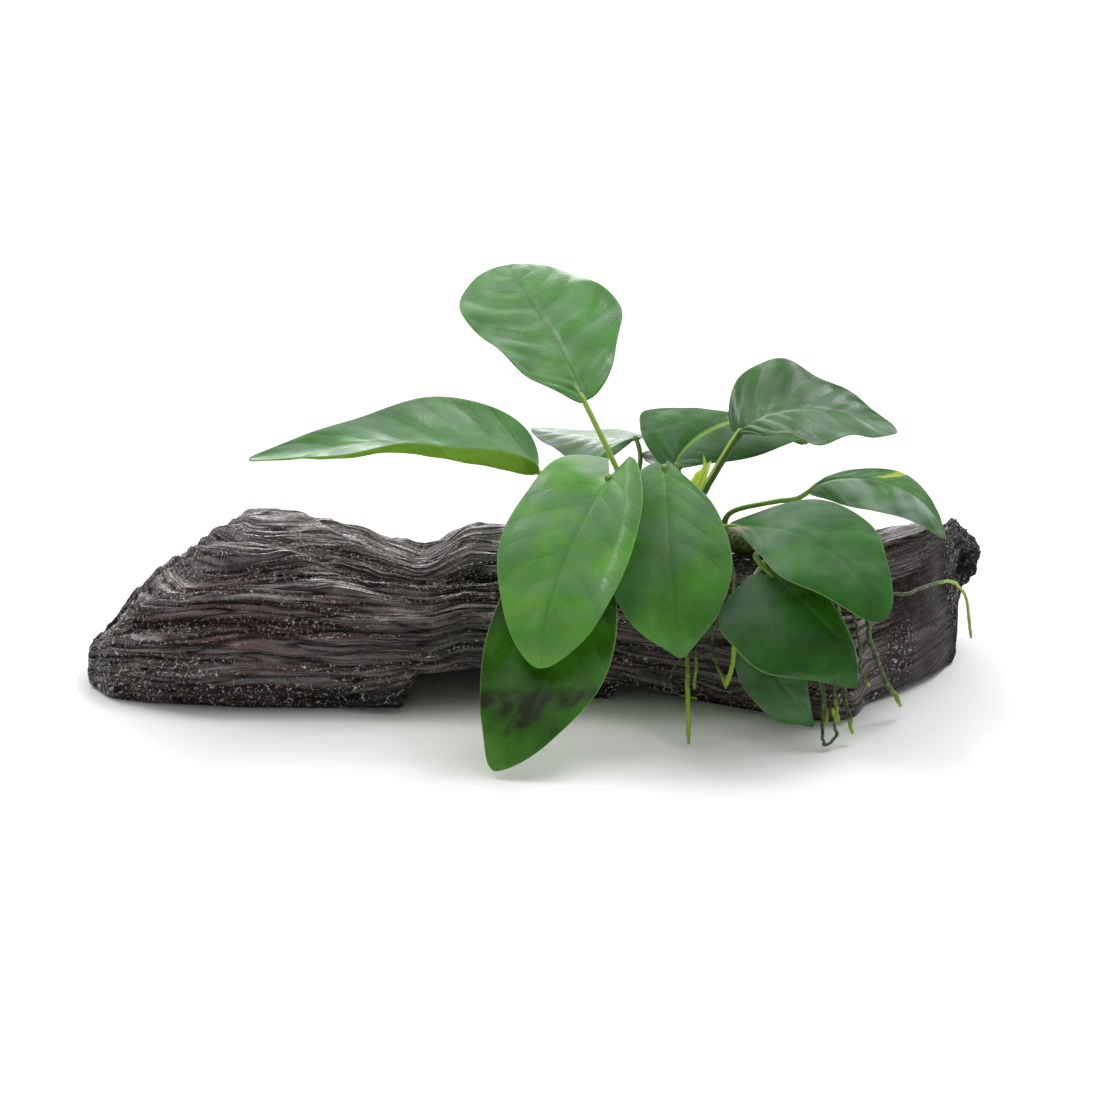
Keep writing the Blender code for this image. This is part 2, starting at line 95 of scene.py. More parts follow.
def skin(name, node, rings, ends, uv, materials, values=None, second=None):
    """One piece from rings of points in millimetres; second says which faces take material 1."""
    count, sides = rings.shape[:2]
    points = np.concatenate([rings.reshape(-1, 3), np.array(ends, float)]) * MM
    i, j = np.meshgrid(np.arange(count - 1), np.arange(sides), indexing="ij")
    k = (j + 1) % sides
    here = i * sides
    quads = np.stack([here + j, here + k, here + sides + k, here + sides + j], axis=-1)
    faces = quads.reshape(-1, 4).tolist()
    first = count * sides
    last = (count - 1) * sides
    faces += [(first, (n + 1) % sides, n) for n in range(sides)]
    faces += [(first + 1, last + n, last + (n + 1) % sides) for n in range(sides)]
    mesh = bpy.data.meshes.new(name)
    mesh.from_pydata(points.tolist(), [], faces)
    closing = np.where(k == 0, uv.shape[1] - 1, k) if uv.shape[1] > sides else k
    corners = np.stack([uv[i, j], uv[i, closing], uv[i + 1, closing], uv[i + 1, j]], axis=2)
    caps = [uv[0, 0]] * (3 * sides) + [uv[-1, 0]] * (3 * sides)
    layer = mesh.uv_layers.new(name="Grain")
    flat_uv = np.concatenate([corners.reshape(-1, 2), np.array(caps)])
    layer.data.foreach_set("uv", flat_uv.astype(np.float32).ravel())
    for label, numbers in (values or {}).items():
        attribute = mesh.attributes.new(label, "FLOAT", "POINT")
        whole = np.concatenate([numbers.reshape(-1), [numbers[0].mean(), numbers[-1].mean()]])
        attribute.data.foreach_set("value", whole.astype(np.float32))
    for material in materials:
        mesh.materials.append(material)
    if second is not None:
        rows = np.broadcast_to(second, (count - 1, sides)).reshape(-1)
        index = np.concatenate([rows, np.zeros(2 * sides)])
        mesh.polygons.foreach_set("material_index", index.astype(np.int32))
    mesh.polygons.foreach_set("use_smooth", [True] * len(mesh.polygons))
    mesh.update()
    piece = bpy.data.objects.new(name, mesh)
    bpy.context.scene.collection.objects.link(piece)
    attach(piece, "root")
    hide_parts(node)
    made_pieces.append(piece)


# %% [markdown]
# ## Tools for materials
#
# Colours are written as sRGB hex codes and turned into linear light by one function. One short
# function adds a node, sets its constants, links the sockets that it is given and hands back one
# output. Lengths in patterns are real millimetres, and `every` turns one into a pattern's scale.
# Natural surfaces have no single colour, so `paint` lays colours over each other, each with the
# share that some value gives it. `let_light_through` adds the glow of thin, juicy tissue.

# %% Colour and node helpers
def linear(code):
    """An sRGB hex colour as linear RGBA."""
    parts = [int(code[n:n + 2], 16) / 255.0 for n in (1, 3, 5)]
    return [c / 12.92 if c <= 0.04045 else ((c + 0.055) / 1.055) ** 2.4 for c in parts] + [1.0]


def add(tree, kind, inputs=None, out=0, **settings):
    """Adds a node with its settings, constants and links, and returns one of its outputs."""
    made = tree.nodes.new("ShaderNode" + kind)
    for label, value in settings.items():
        setattr(made, label, value)
    for label, value in (inputs or {}).items():
        if isinstance(value, bpy.types.NodeSocket):
            tree.links.new(value, made.inputs[label])
        else:
            made.inputs[label].default_value = value
    return made.outputs[out]


def start_material(name):
    """A node material, its tree and its Principled shader."""
    material = bpy.data.materials.new(name)
    material.use_nodes = True
    return material, material.node_tree, material.node_tree.nodes["Principled BSDF"]


def every(size):
    """The scale of a pattern that repeats every size millimetres; Blender's unit is the metre."""
    return 1000.0 / size


def paint(tree, shader, start, layers):
    """Lays colours over each other; a layer is a value, its range, its two shares and a colour."""
    colour = add(tree, "RGB")
    colour.default_value = linear(start)
    for value, low, high, at_low, at_high, code in layers:
        share = add(tree, "MapRange", {0: value, 1: low, 2: high, 3: at_low, 4: at_high})
        colour = add(tree, "Mix", {0: share, 6: colour, 7: linear(code)}, out=2, data_type="RGBA")
    tree.links.new(colour, shader.inputs["Base Color"])
    return colour


def let_light_through(tree, shader, colour, share):
    """Mixes in the light that comes through from behind."""
    glow = add(tree, "BsdfTranslucent", {0: colour})
    mixed = add(tree, "MixShader", {0: share, 1: shader.outputs[0], 2: glow})
    tree.links.new(mixed, tree.nodes["Material Output"].inputs[0])


print("middle grey in linear light:", round(linear("#808080")[0], 3))


# %% [markdown]
# ## The driftwood's section
#
# The log is a row of rounded sections. Each row of the table gives the place along the log, the
# foot of the front and of the back, the height of the top, the place of the crest, and how square
# the section is: 1 is an ellipse and small numbers are boxy. The underside and the back have a
# squareness of their own. The section is widest at its waist, 0.45 of the way up. The underside
# rests on the table and is lifted in an arch below the leaves.

# %% Sections of the log
WOOD_LEFT = -117.5
WOOD_RIGHT = 112.5
ARCH_HEIGHT = 11.3
END_SLANT = 3.6
UNDER_SQUARE = 0.28
BACK_SQUARE = 0.9
WAIST = 0.45
CREST_PULL = 0.9
BLUR = (-1.6, -0.8, 0.0, 0.8, 1.6)
SECTIONS = np.array([
    (-117.5, -13.0, 2.0, 9.0, -6.0, 0.75),
    (-112.0, -22.0, 8.0, 13.5, -4.0, 0.75),
    (-101.0, -26.5, 20.0, 21.5, 2.0, 0.80),
    (-88.0, -29.0, 30.0, 34.0, 5.0, 0.85),
    (-76.0, -31.0, 35.0, 39.5, 7.0, 0.85),
    (-60.0, -31.5, 38.0, 39.0, 8.0, 0.85),
    (-40.0, -31.5, 39.0, 34.0, 8.0, 0.85),
    (-27.0, -31.0, 38.0, 33.5, 6.0, 0.85),
    (-18.0, -28.5, 37.0, 36.6, 4.0, 0.80),
    (-8.0, -26.0, 36.0, 34.5, 3.0, 0.75),
    (17.0, -24.0, 36.0, 34.0, 2.0, 0.70),
    (43.0, -25.5, 38.0, 34.0, 0.0, 0.62),
    (57.0, -32.0, 38.0, 34.5, -2.0, 0.56),
    (76.0, -39.5, 37.0, 33.0, -4.0, 0.50),
    (83.5, -36.0, 36.0, 32.5, -4.0, 0.45),
    (86.0, -27.0, 36.0, 32.5, -3.0, 0.42),
    (98.0, -17.5, 34.0, 35.0, 1.0, 0.38),
    (107.0, -7.5, 31.0, 36.0, 7.0, 0.36),
    (112.5, 3.5, 27.0, 35.0, 13.0, 0.36),
])


def section_at(x):
    """The five section numbers at x, rounded a little where two rows of the table meet."""
    found = []
    for column in range(1, 6):
        steps = [np.interp(x + shift, SECTIONS[:, 0], SECTIONS[:, column]) for shift in BLUR]
        found.append(sum(steps) / len(BLUR))
    return found


def under_height(x, y):
    """How high the underside is lifted off the table at one place."""
    front = 1.0 - smooth(-14.0, 14.0, y)
    torn = x + 0.9 * np.sin(y / 3.1) + 0.5 * np.sin(y / 1.3)
    arch = ARCH_HEIGHT * smooth(-36.5, -29.5, torn) * (1.0 - smooth(-14.0, -5.0, torn))
    small_gap = 5.0 * smooth(19.0, 23.0, x) * (1.0 - smooth(24.0, 46.0, x))
    left_lip = 0.8 * hump(x, -119.0, 14.0)
    right_lip = 3.0 * hump(x, 103.0, 18.0)
    return front * (arch + small_gap) + left_lip + front * right_lip


def pinch(x):
    """How much the grain draws together; it is tightest under the bump left of the plant."""
    return 1.0 + 0.45 * hump(x, -18.0, 60.0)


def relief(x, turn):
    """The broad ridges, ledges and hollows, measured outward. turn is 0 in front and 90 on top."""
    wandering = 0.9 * np.sin(x / 23.0) + 0.5 * np.sin(x / 9.0 + 1.0)
    grain = np.radians(9.0 * (turn - 12.0) * pinch(x)) + wandering
    ridges = 1.1 * (np.sin(grain) - 0.4 * np.cos(2.0 * grain + x / 31.0))
    visible = smooth(-75.0, -45.0, turn) * (1.0 - smooth(200.0, 235.0, turn))
    ledge = 2.6 * hump(turn, -22.0 + 6.0 * np.sin(x / 30.0), 17.0) * smooth(-105.0, -85.0, x)
    ledge = ledge * (1.0 - smooth(-28.0, -12.0, x))
    valley = -3.4 * hump(turn, 18.0, 16.0) * hump(x, -78.0, 42.0)
    hollow = -3.0 * hump(turn, 52.0, 20.0) * hump(x, -84.0, 30.0)
    pocket = -3.2 * hump(turn, 62.0, 18.0) * hump(x, -47.0, 16.0)
    under_bump = -3.0 * hump(turn, 52.0, 16.0) * hump(x, -17.0, 12.0)
    back_scoop = -4.0 * hump(turn, 165.0, 35.0) * hump(x, -20.0, 60.0)
    calm = (1.0 - 0.7 * smooth(84.0, 95.0, x)) * smooth(-125.0, -104.0, x)
    edge = 1.3 * smooth(84.0, 92.0, x) * smooth(90.0, 95.0, turn) * smooth(150.0, 120.0, turn)
    hollows = valley + hollow + pocket + under_bump + back_scoop
    return edge + visible * calm * (ridges + ledge + hollows)


TOP_WEAR = np.array([
    (-117, 0.5), (-112, -1.8), (-105, -3.8), (-99, -2.6), (-92, 0.2), (-80, 0.8), (-68, 1.2),
    (-57, 3.0), (-36, 4.2), (-31, 5.8), (-25, 3.6), (-18, 2.0), (-8, 1.0), (10, 0.0),
])


def worn_top(x, turn):
    """How much the crest is worn down, or stands up where the number is below 0."""
    near = [np.interp(x + shift, TOP_WEAR[:, 0], TOP_WEAR[:, 1]) for shift in (-2.0, 0.0, 2.0)]
    return sum(near) / 3.0 * smooth(35.0, 75.0, turn) * smooth(165.0, 130.0, turn)


def plain_section(x, turn):
    """The section without relief, with its outward direction in y and z."""
    front, back, top, crest, square = section_at(x)
    angle = np.radians(turn)
    c = np.cos(angle)
    s = np.sin(angle)
    middle = 0.5 * (front + back)
    power = np.where(s < 0.0, UNDER_SQUARE, np.where(c < 0.0, BACK_SQUARE, square))
    across = np.sign(c) * np.abs(c) ** power
    rise = np.sign(s) * np.abs(s) ** square
    y = middle - 0.5 * (back - front) * across
    y = y + (crest - middle) * np.maximum(0.0, rise) * CREST_PULL
    z = top * (WAIST + (1.0 - WAIST) * rise)
    return y, z, c, s


print("sections:", len(SECTIONS), "highest top:", SECTIONS[:, 3].max(), "mm")


# %% [markdown]
# Left of the broad back the grain doesn't follow the falling outline but runs on level, as the
# camera sees it from 20 degrees above. `seen_height` measures that, and `level_turn` gives a point
# the turn that has its height at a place where the log is full.

# %% Level grain on the left
FULL_AT = -72.0
FALL = math.radians(20.0)


def seen_height(y, z):
    """How high a point stands in the picture."""
    return math.sin(FALL) * y + math.cos(FALL) * z


def level_turn(x, turn):
    """The turn that is as high on the full section; it takes over towards the left."""
    full_turns = np.linspace(-60.0, 90.0, 151)
    full_high = seen_height(*plain_section(FULL_AT, full_turns)[:2])
    same = np.interp(seen_height(*plain_section(x, turn)[:2]), full_high, full_turns)
    share = smooth(-50.0, -86.0, x) * smooth(112.0, 86.0, turn)
    return turn + share * (same - turn)


print("the front at x = -100 takes the turn", round(float(level_turn(-100.0, 0.0)), 1))


# %% [markdown]
# ## Even points around the log
#
# Equal turns would crowd the corners of the boxy sections, so each ring is walked by arc length.
# The front and the top get more points than the back, and the underside gets few. The arc length
# also serves as the coordinate across the grain. It is scaled to one girth for all rings, so the
# grain narrows where the log does.

# %% Walk each ring by arc length
ALONG = 280
AROUND = 310
GIRTH = 210.0
xs = np.linspace(WOOD_LEFT, WOOD_RIGHT, ALONG)
dense = np.linspace(-90.0, 270.0, 1081)
density = 0.2 + 0.8 * smooth(-75.0, -52.0, dense) * (1.0 - smooth(175.0, 225.0, dense))
density = density * (1.0 - 0.4 * smooth(105.0, 145.0, dense))
turns = np.zeros((ALONG, AROUND + 1))
arcs = np.zeros((ALONG, AROUND + 1))
for n, x in enumerate(xs):
    y, z = plain_section(x, dense)[:2]
    step = np.hypot(np.diff(y), np.diff(z)) + 0.02
    weighted = np.cumsum(step * 0.5 * (density[1:] + density[:-1]))
    weighted = np.concatenate([[0.0], weighted])
    length = np.concatenate([[0.0], np.cumsum(step)])
    wanted = np.linspace(0.0, weighted[-1], AROUND + 1)
    turns[n] = np.interp(wanted, weighted, dense)
    arcs[n] = np.interp(wanted, weighted, length / length[-1]) * GIRTH
turn = turns[:, :-1]
x = np.repeat(xs[:, None], AROUND, axis=1)
print("log points:", turn.size, "widest step around:", round(float(np.diff(arcs, axis=1).max()), 2))

# %% [markdown]
# ## Grain, cracks and crumbs
#
# Old driftwood is worn into long fibres that follow the log, so they need a coordinate across the
# grain. It draws together under the bump and rises towards the plant at the lower front. On the
# left, a point takes the coordinate of the point that stands as high on one meeting ring, which
# makes the fibres level there. Flat places count a share of the way walked, so the coordinate
# always grows.

# %% The coordinate across the grain
MEETING_AT = -52.0
MIDDLE_TURN = 12.0
LEVEL_TURN = -20.0
LEAST_CLIMB = 0.35
middle_arc = np.array([np.interp(MIDDLE_TURN, turns[n], arcs[n]) for n in range(ALONG)])[:, None]
wide_x = np.repeat(xs[:, None], AROUND + 1, axis=1)
from_middle = arcs - middle_arc
rising = 0.5 * smooth(8.0, -14.0, from_middle) * hump(wide_x, -14.0, 62.0)
across_map = middle_arc + from_middle * (pinch(wide_x) + rising)
wide_y, wide_z = plain_section(wide_x, turns)[:2]
high = seen_height(wide_y, wide_z)
walked = np.hypot(np.diff(wide_y, axis=1), np.diff(wide_z, axis=1))
climbed = np.maximum(np.abs(np.diff(high, axis=1)), LEAST_CLIMB * walked)
risen = np.concatenate([np.zeros((ALONG, 1)), np.cumsum(climbed, axis=1)], axis=1)
for n in range(ALONG):
    start_high, start_risen = [np.interp(LEVEL_TURN, turns[n], q[n]) for q in (high, risen)]
    risen[n] += start_high - start_risen
meeting = int(np.abs(xs - MEETING_AT).argmin())
over = risen - np.clip(risen, risen[meeting, 0], risen[meeting, -1])
level_map = np.interp(risen, risen[meeting], across_map[meeting]) + over
across_map = across_map + smooth(-32.0, -70.0, wide_x) * (level_map - across_map)
across_map = across_map + 2.4 * field(wide_x / 34.0, arcs / 17.0, 0.0, 1)
across_map = across_map + 0.5 * field(wide_x / 10.0, arcs / 7.0, 0.0, 2)
across = across_map[:, :-1]
print("across the grain from", round(float(across.min()), 1), "to", round(float(across.max()), 1))

# %% [markdown]
# The fibres are round with sharp gaps between them. The size of noise that is stretched along the
# log gives that shape, because it has a sharp valley wherever the noise changes sign. Small round
# noise gives lumps and crumbs.

# %% Fibres, threads and crumbs
wide_fibres = field(x / 44.0, across / 6.4, 0.0, 3)
fibres = field(x / 30.0, across / 3.4, 0.0, 4)
threads = field(x / 14.0, across / 1.7, 0.0, 5)
y, z, c, s = plain_section(x, turn)
lumps = field(x / 5.5, y / 4.2, z / 4.2, 6)
crumbs = field(x / 1.9, y / 1.7, z / 1.7, 7)
gaps = np.exp(-(fibres / 0.2) ** 2)
deep_gaps = gaps * smooth(-0.3, 0.5, wide_fibres)
rounded = np.abs(fibres) ** 0.6 - 0.55
small = np.abs(threads) ** 0.7 - 0.5
print("share of gaps:", round(float(gaps.mean()), 2))

# %% [markdown]
# The surface is crumbly along the bottom, at the worn left end, under the bump and in the pocket.
# Three rows with the same crumbs run level on the left, where softer wood rotted away; they are sunk
# and painted dark, which is painted shade in them. The broken face on the right is almost smooth.

# %% Rough places
bent = level_turn(x, turn)
seen = seen_height(y, z)
dark_rows = hump(seen, 11.8, 4.5) + hump(seen, -5.0, 6.5) + 0.8 * hump(seen, 27.0, 4.0)
dark_rows = smooth(-40.0, -62.0, x) * smooth(110.0, 90.0, turn) * dark_rows * (0.75 + 0.35 * lumps)
waver = 9.0 * field(x / 17.0, z / 12.0, 0.0, 18)
low_band = smooth(-14.0, -26.0, bent + waver) * (x < 84.0)
worn_left = 1.0 - smooth(-112.0, -98.0, x)
rough = np.clip(low_band + 0.8 * worn_left, 0.0, 1.0)
rough = np.maximum(rough, 0.8 * hump(turn, 48.0, 20.0) * hump(x, -17.0, 16.0))
rough = np.maximum(rough, 0.7 * hump(turn, 62.0, 20.0) * hump(x, -47.0, 20.0))
coarse = np.maximum(rough, dark_rows)
flat_end = smooth(86.0, 94.0, x)
print("share that is coarse:", round(float(coarse.mean()), 2))

# %% [markdown]
# All relief is added up and pushes the plain section outward, but not through the table or into
# the arch. The right end leans back towards its top.

# %% Relief of the log
fine = 0.9 * wide_fibres + 1.2 * rounded + 0.5 * small - 1.1 * deep_gaps
fine = fine * (1.0 - 0.4 * coarse) * (1.0 - 0.75 * flat_end)
fine = fine + 0.22 * lumps + (0.08 + 0.3 * coarse) * crumbs - 0.2 - 0.8 * dark_rows
clear = smooth(0.0, 3.0, z - under_height(x, y))
broad = relief(x, bent) - worn_top(x, turn)
out = (broad + fine) * clear
moved_y = y - out * c
moved_z = np.maximum(z + out * np.maximum(s, -0.2), under_height(x, moved_y))
slant = END_SLANT * smooth(100.0, WOOD_RIGHT, x) * smooth(10.0, 26.0, moved_z)
log = np.stack([x - slant, moved_y, moved_z], axis=-1)
print("fine relief from", round(float(fine.min()), 2), "to", round(float(fine.max()), 2), "mm")

# %% [markdown]
# ## The two ends
#
# The left end is a short worn face, so its last ring shrinks in a few steps. At the right the log
# ends in a flat broken face with a crumbled stub behind it: the last ring is narrowed and moved
# towards the stub's middle, and noise makes the break uneven.

# %% Close both ends of the log
STUB_Y = 18.5
STUB_Z = 26.5
STUB_LENGTH = 8.3
CAP_LENGTH = 1.0
LOWEST = 0.3
STUB_RINGS = np.array([
    (0.0, 1.0, 1.0), (0.8, 0.92, 0.94), (2.6, 0.70, 0.36), (4.8, 0.60, 0.31),
    (6.6, 0.42, 0.22), (7.8, 0.2, 0.11), (8.2, 0.05, 0.03),
])
CAP_RINGS = ((0.12, 1.0), (0.35, 0.95), (0.6, 0.8), (0.8, 0.55), (0.93, 0.3))
last_ring = log[-1]
end_y = float(last_ring[:, 1].mean())
end_z = float(last_ring[:, 2].mean())
angle = np.arctan2(last_ring[:, 2] - end_z, last_ring[:, 1] - end_y)
stub = []
for row in np.linspace(0.12, 6.0, 34):
    reach, wide, tall = [np.interp(row, np.arange(7.0), q) for q in STUB_RINGS.T]
    moved = min(1.0, max(0.0, reach - 0.8) / 1.4)
    waves = 0.06 * np.sin(5.0 * angle + reach) + 0.04 * np.sin(9.0 * angle - 2.0 * reach)
    knobs = 0.09 * field(np.cos(angle) * 3.5, np.sin(angle) * 3.5, reach / 2.0, 10)
    bumpy = (1.0 + moved * waves) * (1.0 + moved * knobs)
    ring_y = end_y + moved * (STUB_Y - end_y) + (last_ring[:, 1] - end_y) * wide * bumpy
    ring_z = end_z + moved * (STUB_Z - end_z) + (last_ring[:, 2] - end_z) * tall * bumpy
    chips = 0.35 * field(ring_y / 3.1, ring_z / 3.1, reach / 3.0, 8)
    chips = chips + 0.2 * field(ring_y / 1.3, ring_z / 1.3, reach, 9)
    jagged = WOOD_RIGHT - last_ring[:, 0] + 0.3 * np.sin(6.0 * angle + 3.0 * reach)
    ring_x = last_ring[:, 0] + reach + moved * jagged + chips * min(1.0, row)
    stub.append(np.stack([ring_x, ring_y, np.maximum(ring_z, LOWEST)], axis=-1))
first_ring = log[0]
left_y = float(first_ring[:, 1].mean())
left_z = float(first_ring[:, 2].mean())
cap = []
for size, reach in CAP_RINGS:
    ring_y = left_y + (first_ring[:, 1] - left_y) * size
    ring_z = left_z + (first_ring[:, 2] - left_z) * size
    ring_x = WOOD_LEFT - reach + 0.3 * field(ring_y / 2.0, ring_z / 2.0, 0.0, 12)
    cap.append(np.stack([ring_x, ring_y, ring_z], axis=-1))
log_rings = np.concatenate([np.array(cap), log, np.array(stub)])
log_ends = [(WOOD_LEFT - CAP_LENGTH, left_y, left_z), (WOOD_RIGHT + STUB_LENGTH, STUB_Y, STUB_Z)]
print("rings:", len(log_rings), "triangles:", 2 * len(log_rings) * AROUND)

# %% [markdown]
# ## Where the wood is brown, green, painted dark in its gaps or beaded
#
# Five values per vertex steer the colour and the gloss. The first is high in the gaps between the
# fibres, in the valleys of the wide fibres, in the coarse places and on the broken face, and paints
# near black into the colour there: painted shade, which on the broken face is partly its dark dry
# wood as well and grows darker towards the face's top. `Brown` marks the smooth hollow, the pockets
# and the break on the right, `Green` the damp patches with a thin film of algae, `Bead` the rows of
# small round crumbs, which carry painted highlights while the smoother wood off these rows is
# painted a lighter grey as a painted sheen, and `Dull` the broken face on the right, which has
# dried.

# %% Colour masks of the log
blotches = field(x / 26.0, y / 12.0, z / 9.0, 14)
algae = field(x / 9.0, y / 6.0, z / 6.0, 15)
streaks = field(x / 30.0, across / 4.0, 0.0, 16)
strings = field(x / 38.0, across / 3.2, 0.0, 17)
broken_face = flat_end * smooth(97.0, 92.0, turn)
beaded = hump(x, 95.0, 8.0) * hump(z, 12.0, 15.0)
# Painted shade: near black in the fibre gaps and valleys, the coarse places and the broken face.
gap_shade = np.clip(0.9 * gaps + 0.5 * smooth(0.1, -0.6, wide_fibres) - 0.15, 0.0, 1.0)
gap_shade = np.maximum(gap_shade, (0.72 + 0.2 * smooth(16.0, 24.0, z)) * broken_face)
gap_shade = np.minimum(1.0, gap_shade + 0.4 * coarse)
brown = hump(seen, 23.7, 3.5) * hump(x, -84.0, 16.0)
brown = brown + 0.8 * hump(seen, 12.5, 5.0) * hump(x, -78.0, 40.0)
brown = brown + 1.6 * broken_face * smooth(14.0, 24.0, z) * smooth(108.0, 98.0, x)
brown = brown + 0.7 * smooth(0.25, 0.7, streaks) * smooth(75.0, 60.0, turn)
green = 0.7 * worn_left * (turn < 60.0)
green = green + 0.8 * smooth(-8.0, -20.0, turn) * smooth(-0.1, 0.4, -blotches)
damp = hump(x, -16.0, 20.0) * hump(turn, 14.0, 34.0)
green = green + 0.8 * damp * smooth(-0.4, 0.3, algae)
bead = np.maximum(coarse, smooth(0.05, 0.45, strings) * smooth(100.0, 80.0, turn))
bead = bead * smooth(-10.6, -8.6, seen + 0.1 * waver)
bead = np.maximum(np.maximum(bead, 0.25) * (1.0 - 0.8 * broken_face), beaded)
dull = broken_face * (1.0 - 0.7 * beaded)


def with_ends(values, at_stub):
    """Values for the log's rings, repeated over its left end and set on its stub."""
    left = np.repeat(values[:1], len(cap), axis=0)
    right = np.full((len(stub), AROUND), at_stub)
    return np.clip(np.concatenate([left, values, right]), 0.0, 1.0)


log_values = {
    "GapShade": with_ends(gap_shade, 0.85),
    "Brown": with_ends(brown, 0.1),
    "Green": with_ends(green, 0.2),
    "Bead": with_ends(bead, 0.55),
    "Dull": with_ends(dull, 0.85),
}
for label, numbers in log_values.items():
    print(label, "mean", round(float(numbers.mean()), 3))

# %% [markdown]
# The wood's UV map says how far a point lies along the log and across the grain, both as a share of
# one side of a square map, so that patterns drawn on it follow the fibres.

# %% Map of the log
MAP_SIDE = 245.0
past_left = np.linspace(-1.0, -0.3, len(cap))
past_right = WOOD_RIGHT - WOOD_LEFT + np.linspace(0.6, 14.6, len(stub))
along_log = np.concatenate([past_left, xs - WOOD_LEFT, past_right])
left_across = np.repeat(across_map[:1], len(cap), axis=0)
right_across = np.repeat(across_map[-1:], len(stub), axis=0)
across_log = np.concatenate([left_across, across_map, right_across])
along_log = np.repeat(along_log[:, None], AROUND + 1, axis=1)
log_uv = np.stack([along_log, across_log], axis=-1) / MAP_SIDE
print("map of the log:", log_uv.shape[0], "by", log_uv.shape[1])

# %% [markdown]
# ## Wet driftwood
# Bog wood that has lain under water for years is nearly black: dark umber on the fibres and
# red-brown where the surface wore through. The gaps and the coarse rows are painted near black,
# which is painted shade; the broken face is painted near black too, partly its dark dry wood and
# partly painted shade. It is soaked, so water meets the air everywhere and the IOR is that of water,
# 1.33. A film of water lies on the fibres like a clear coat, and there is none in the gaps and on
# the broken face. Fibres are 2.6 mm wide and threads 0.7 mm. Noise is drawn on the map, whose
# directions run along and across the grain, and a gap lies wherever it passes 0.5. The crumbs are
# 0.9 mm wide.

# %% Patterns of the driftwood
FIBRE_WIDTH = 2.6
FIBRE_LENGTH = 34.0
THREAD_WIDTH = 0.7
THREAD_LENGTH = 9.0
CRUMB = 0.9
wood, tree, shader = start_material("wet_bog_wood")
gap_shade_value, brown_value, green_value, bead_value, dull_value = [
    add(tree, "Attribute", out="Fac", attribute_name=label) for label in log_values]
space = add(tree, "TexCoord", out="Object")
grain_map = add(tree, "UVMap", uv_map="Grain")
fibre_scale = (MAP_SIDE / FIBRE_LENGTH, MAP_SIDE / FIBRE_WIDTH, 1.0)
thread_scale = (MAP_SIDE / THREAD_LENGTH, MAP_SIDE / THREAD_WIDTH, 1.0)
long_map = add(tree, "Mapping", {0: grain_map, 3: fibre_scale})
short_map = add(tree, "Mapping", {0: grain_map, 3: thread_scale})
fibre = add(tree, "TexNoise", {0: long_map, "Scale": 1.0, "Detail": 1.5, "Distortion": 0.2})
thread = add(tree, "TexNoise", {0: short_map, "Scale": 1.0, "Detail": 4.0, "Roughness": 0.6})
patch = add(tree, "TexNoise", {0: space, "Scale": every(14.0), "Detail": 3.0})
film = add(tree, "TexNoise", {0: space, "Scale": every(3.0), "Detail": 2.0})
crumb = add(tree, "TexNoise", {0: space, "Scale": every(1.1), "Detail": 2.0})
beads = add(tree, "TexVoronoi", {0: space, "Scale": every(CRUMB)}, feature="F1")
from_gap = add(tree, "Math", {0: fibre, 1: 0.5}, operation="SUBTRACT")
from_gap = add(tree, "Math", {0: from_gap}, operation="ABSOLUTE")
print("driftwood patterns:", len(tree.nodes), "nodes")

# %% [markdown]
# Every second crumb gets a pale dot, a painted highlight. Short curved glints about 1.8 mm across
# are painted as well, where one noise passes 0.5 and broken up by another: painted highlights of the
# wet crumbs, drawn in the colour.

# %% Painted highlights: pale dots and glints
GLINT = 1.8
# Painted highlights: the pale dots and glints below are drawn into the colour.
chosen = add(tree, "MapRange", {0: beads.node.outputs["Color"], 1: 0.42, 2: 0.62})
pale = add(tree, "MapRange", {0: beads, 1: 0.16, 2: 0.40, 3: 0.6, 4: 0.0})
pale = add(tree, "Math", {0: pale, 1: chosen}, operation="MULTIPLY")
curve = add(tree, "TexNoise", {0: space, "Scale": every(GLINT), "Detail": 0.0})
curve = add(tree, "Math", {0: curve, 1: 0.5}, operation="SUBTRACT")
curve = add(tree, "Math", {0: curve}, operation="ABSOLUTE")
curve = add(tree, "MapRange", {0: curve, 1: 0.012, 2: 0.045, 3: 1.0, 4: 0.0})
broken = add(tree, "MapRange", {0: crumb, 1: 0.5, 2: 0.62, 3: 0.0, 4: 0.9})
pale = add(tree, "Math", {0: curve, 1: broken, 2: pale}, operation="MULTIPLY_ADD")
glint_rows = add(tree, "MapRange", {0: bead_value, 1: 0.2, 2: 0.9, 3: 0.1, 4: 1.0})
pale = add(tree, "Math", {0: pale, 1: glint_rows}, operation="MULTIPLY")
print("with glints:", len(tree.nodes), "nodes")

# %% [markdown]
# Colour, gloss and height use the same patterns, so a gap is painted dark as painted shade, and is
# dry and deep at once. The water film is nearly smooth and the wood under it is rougher where it is
# dry.

# %% Driftwood material and the log
DRY_ROUGHNESS = 0.45
WATER_IOR = 1.33
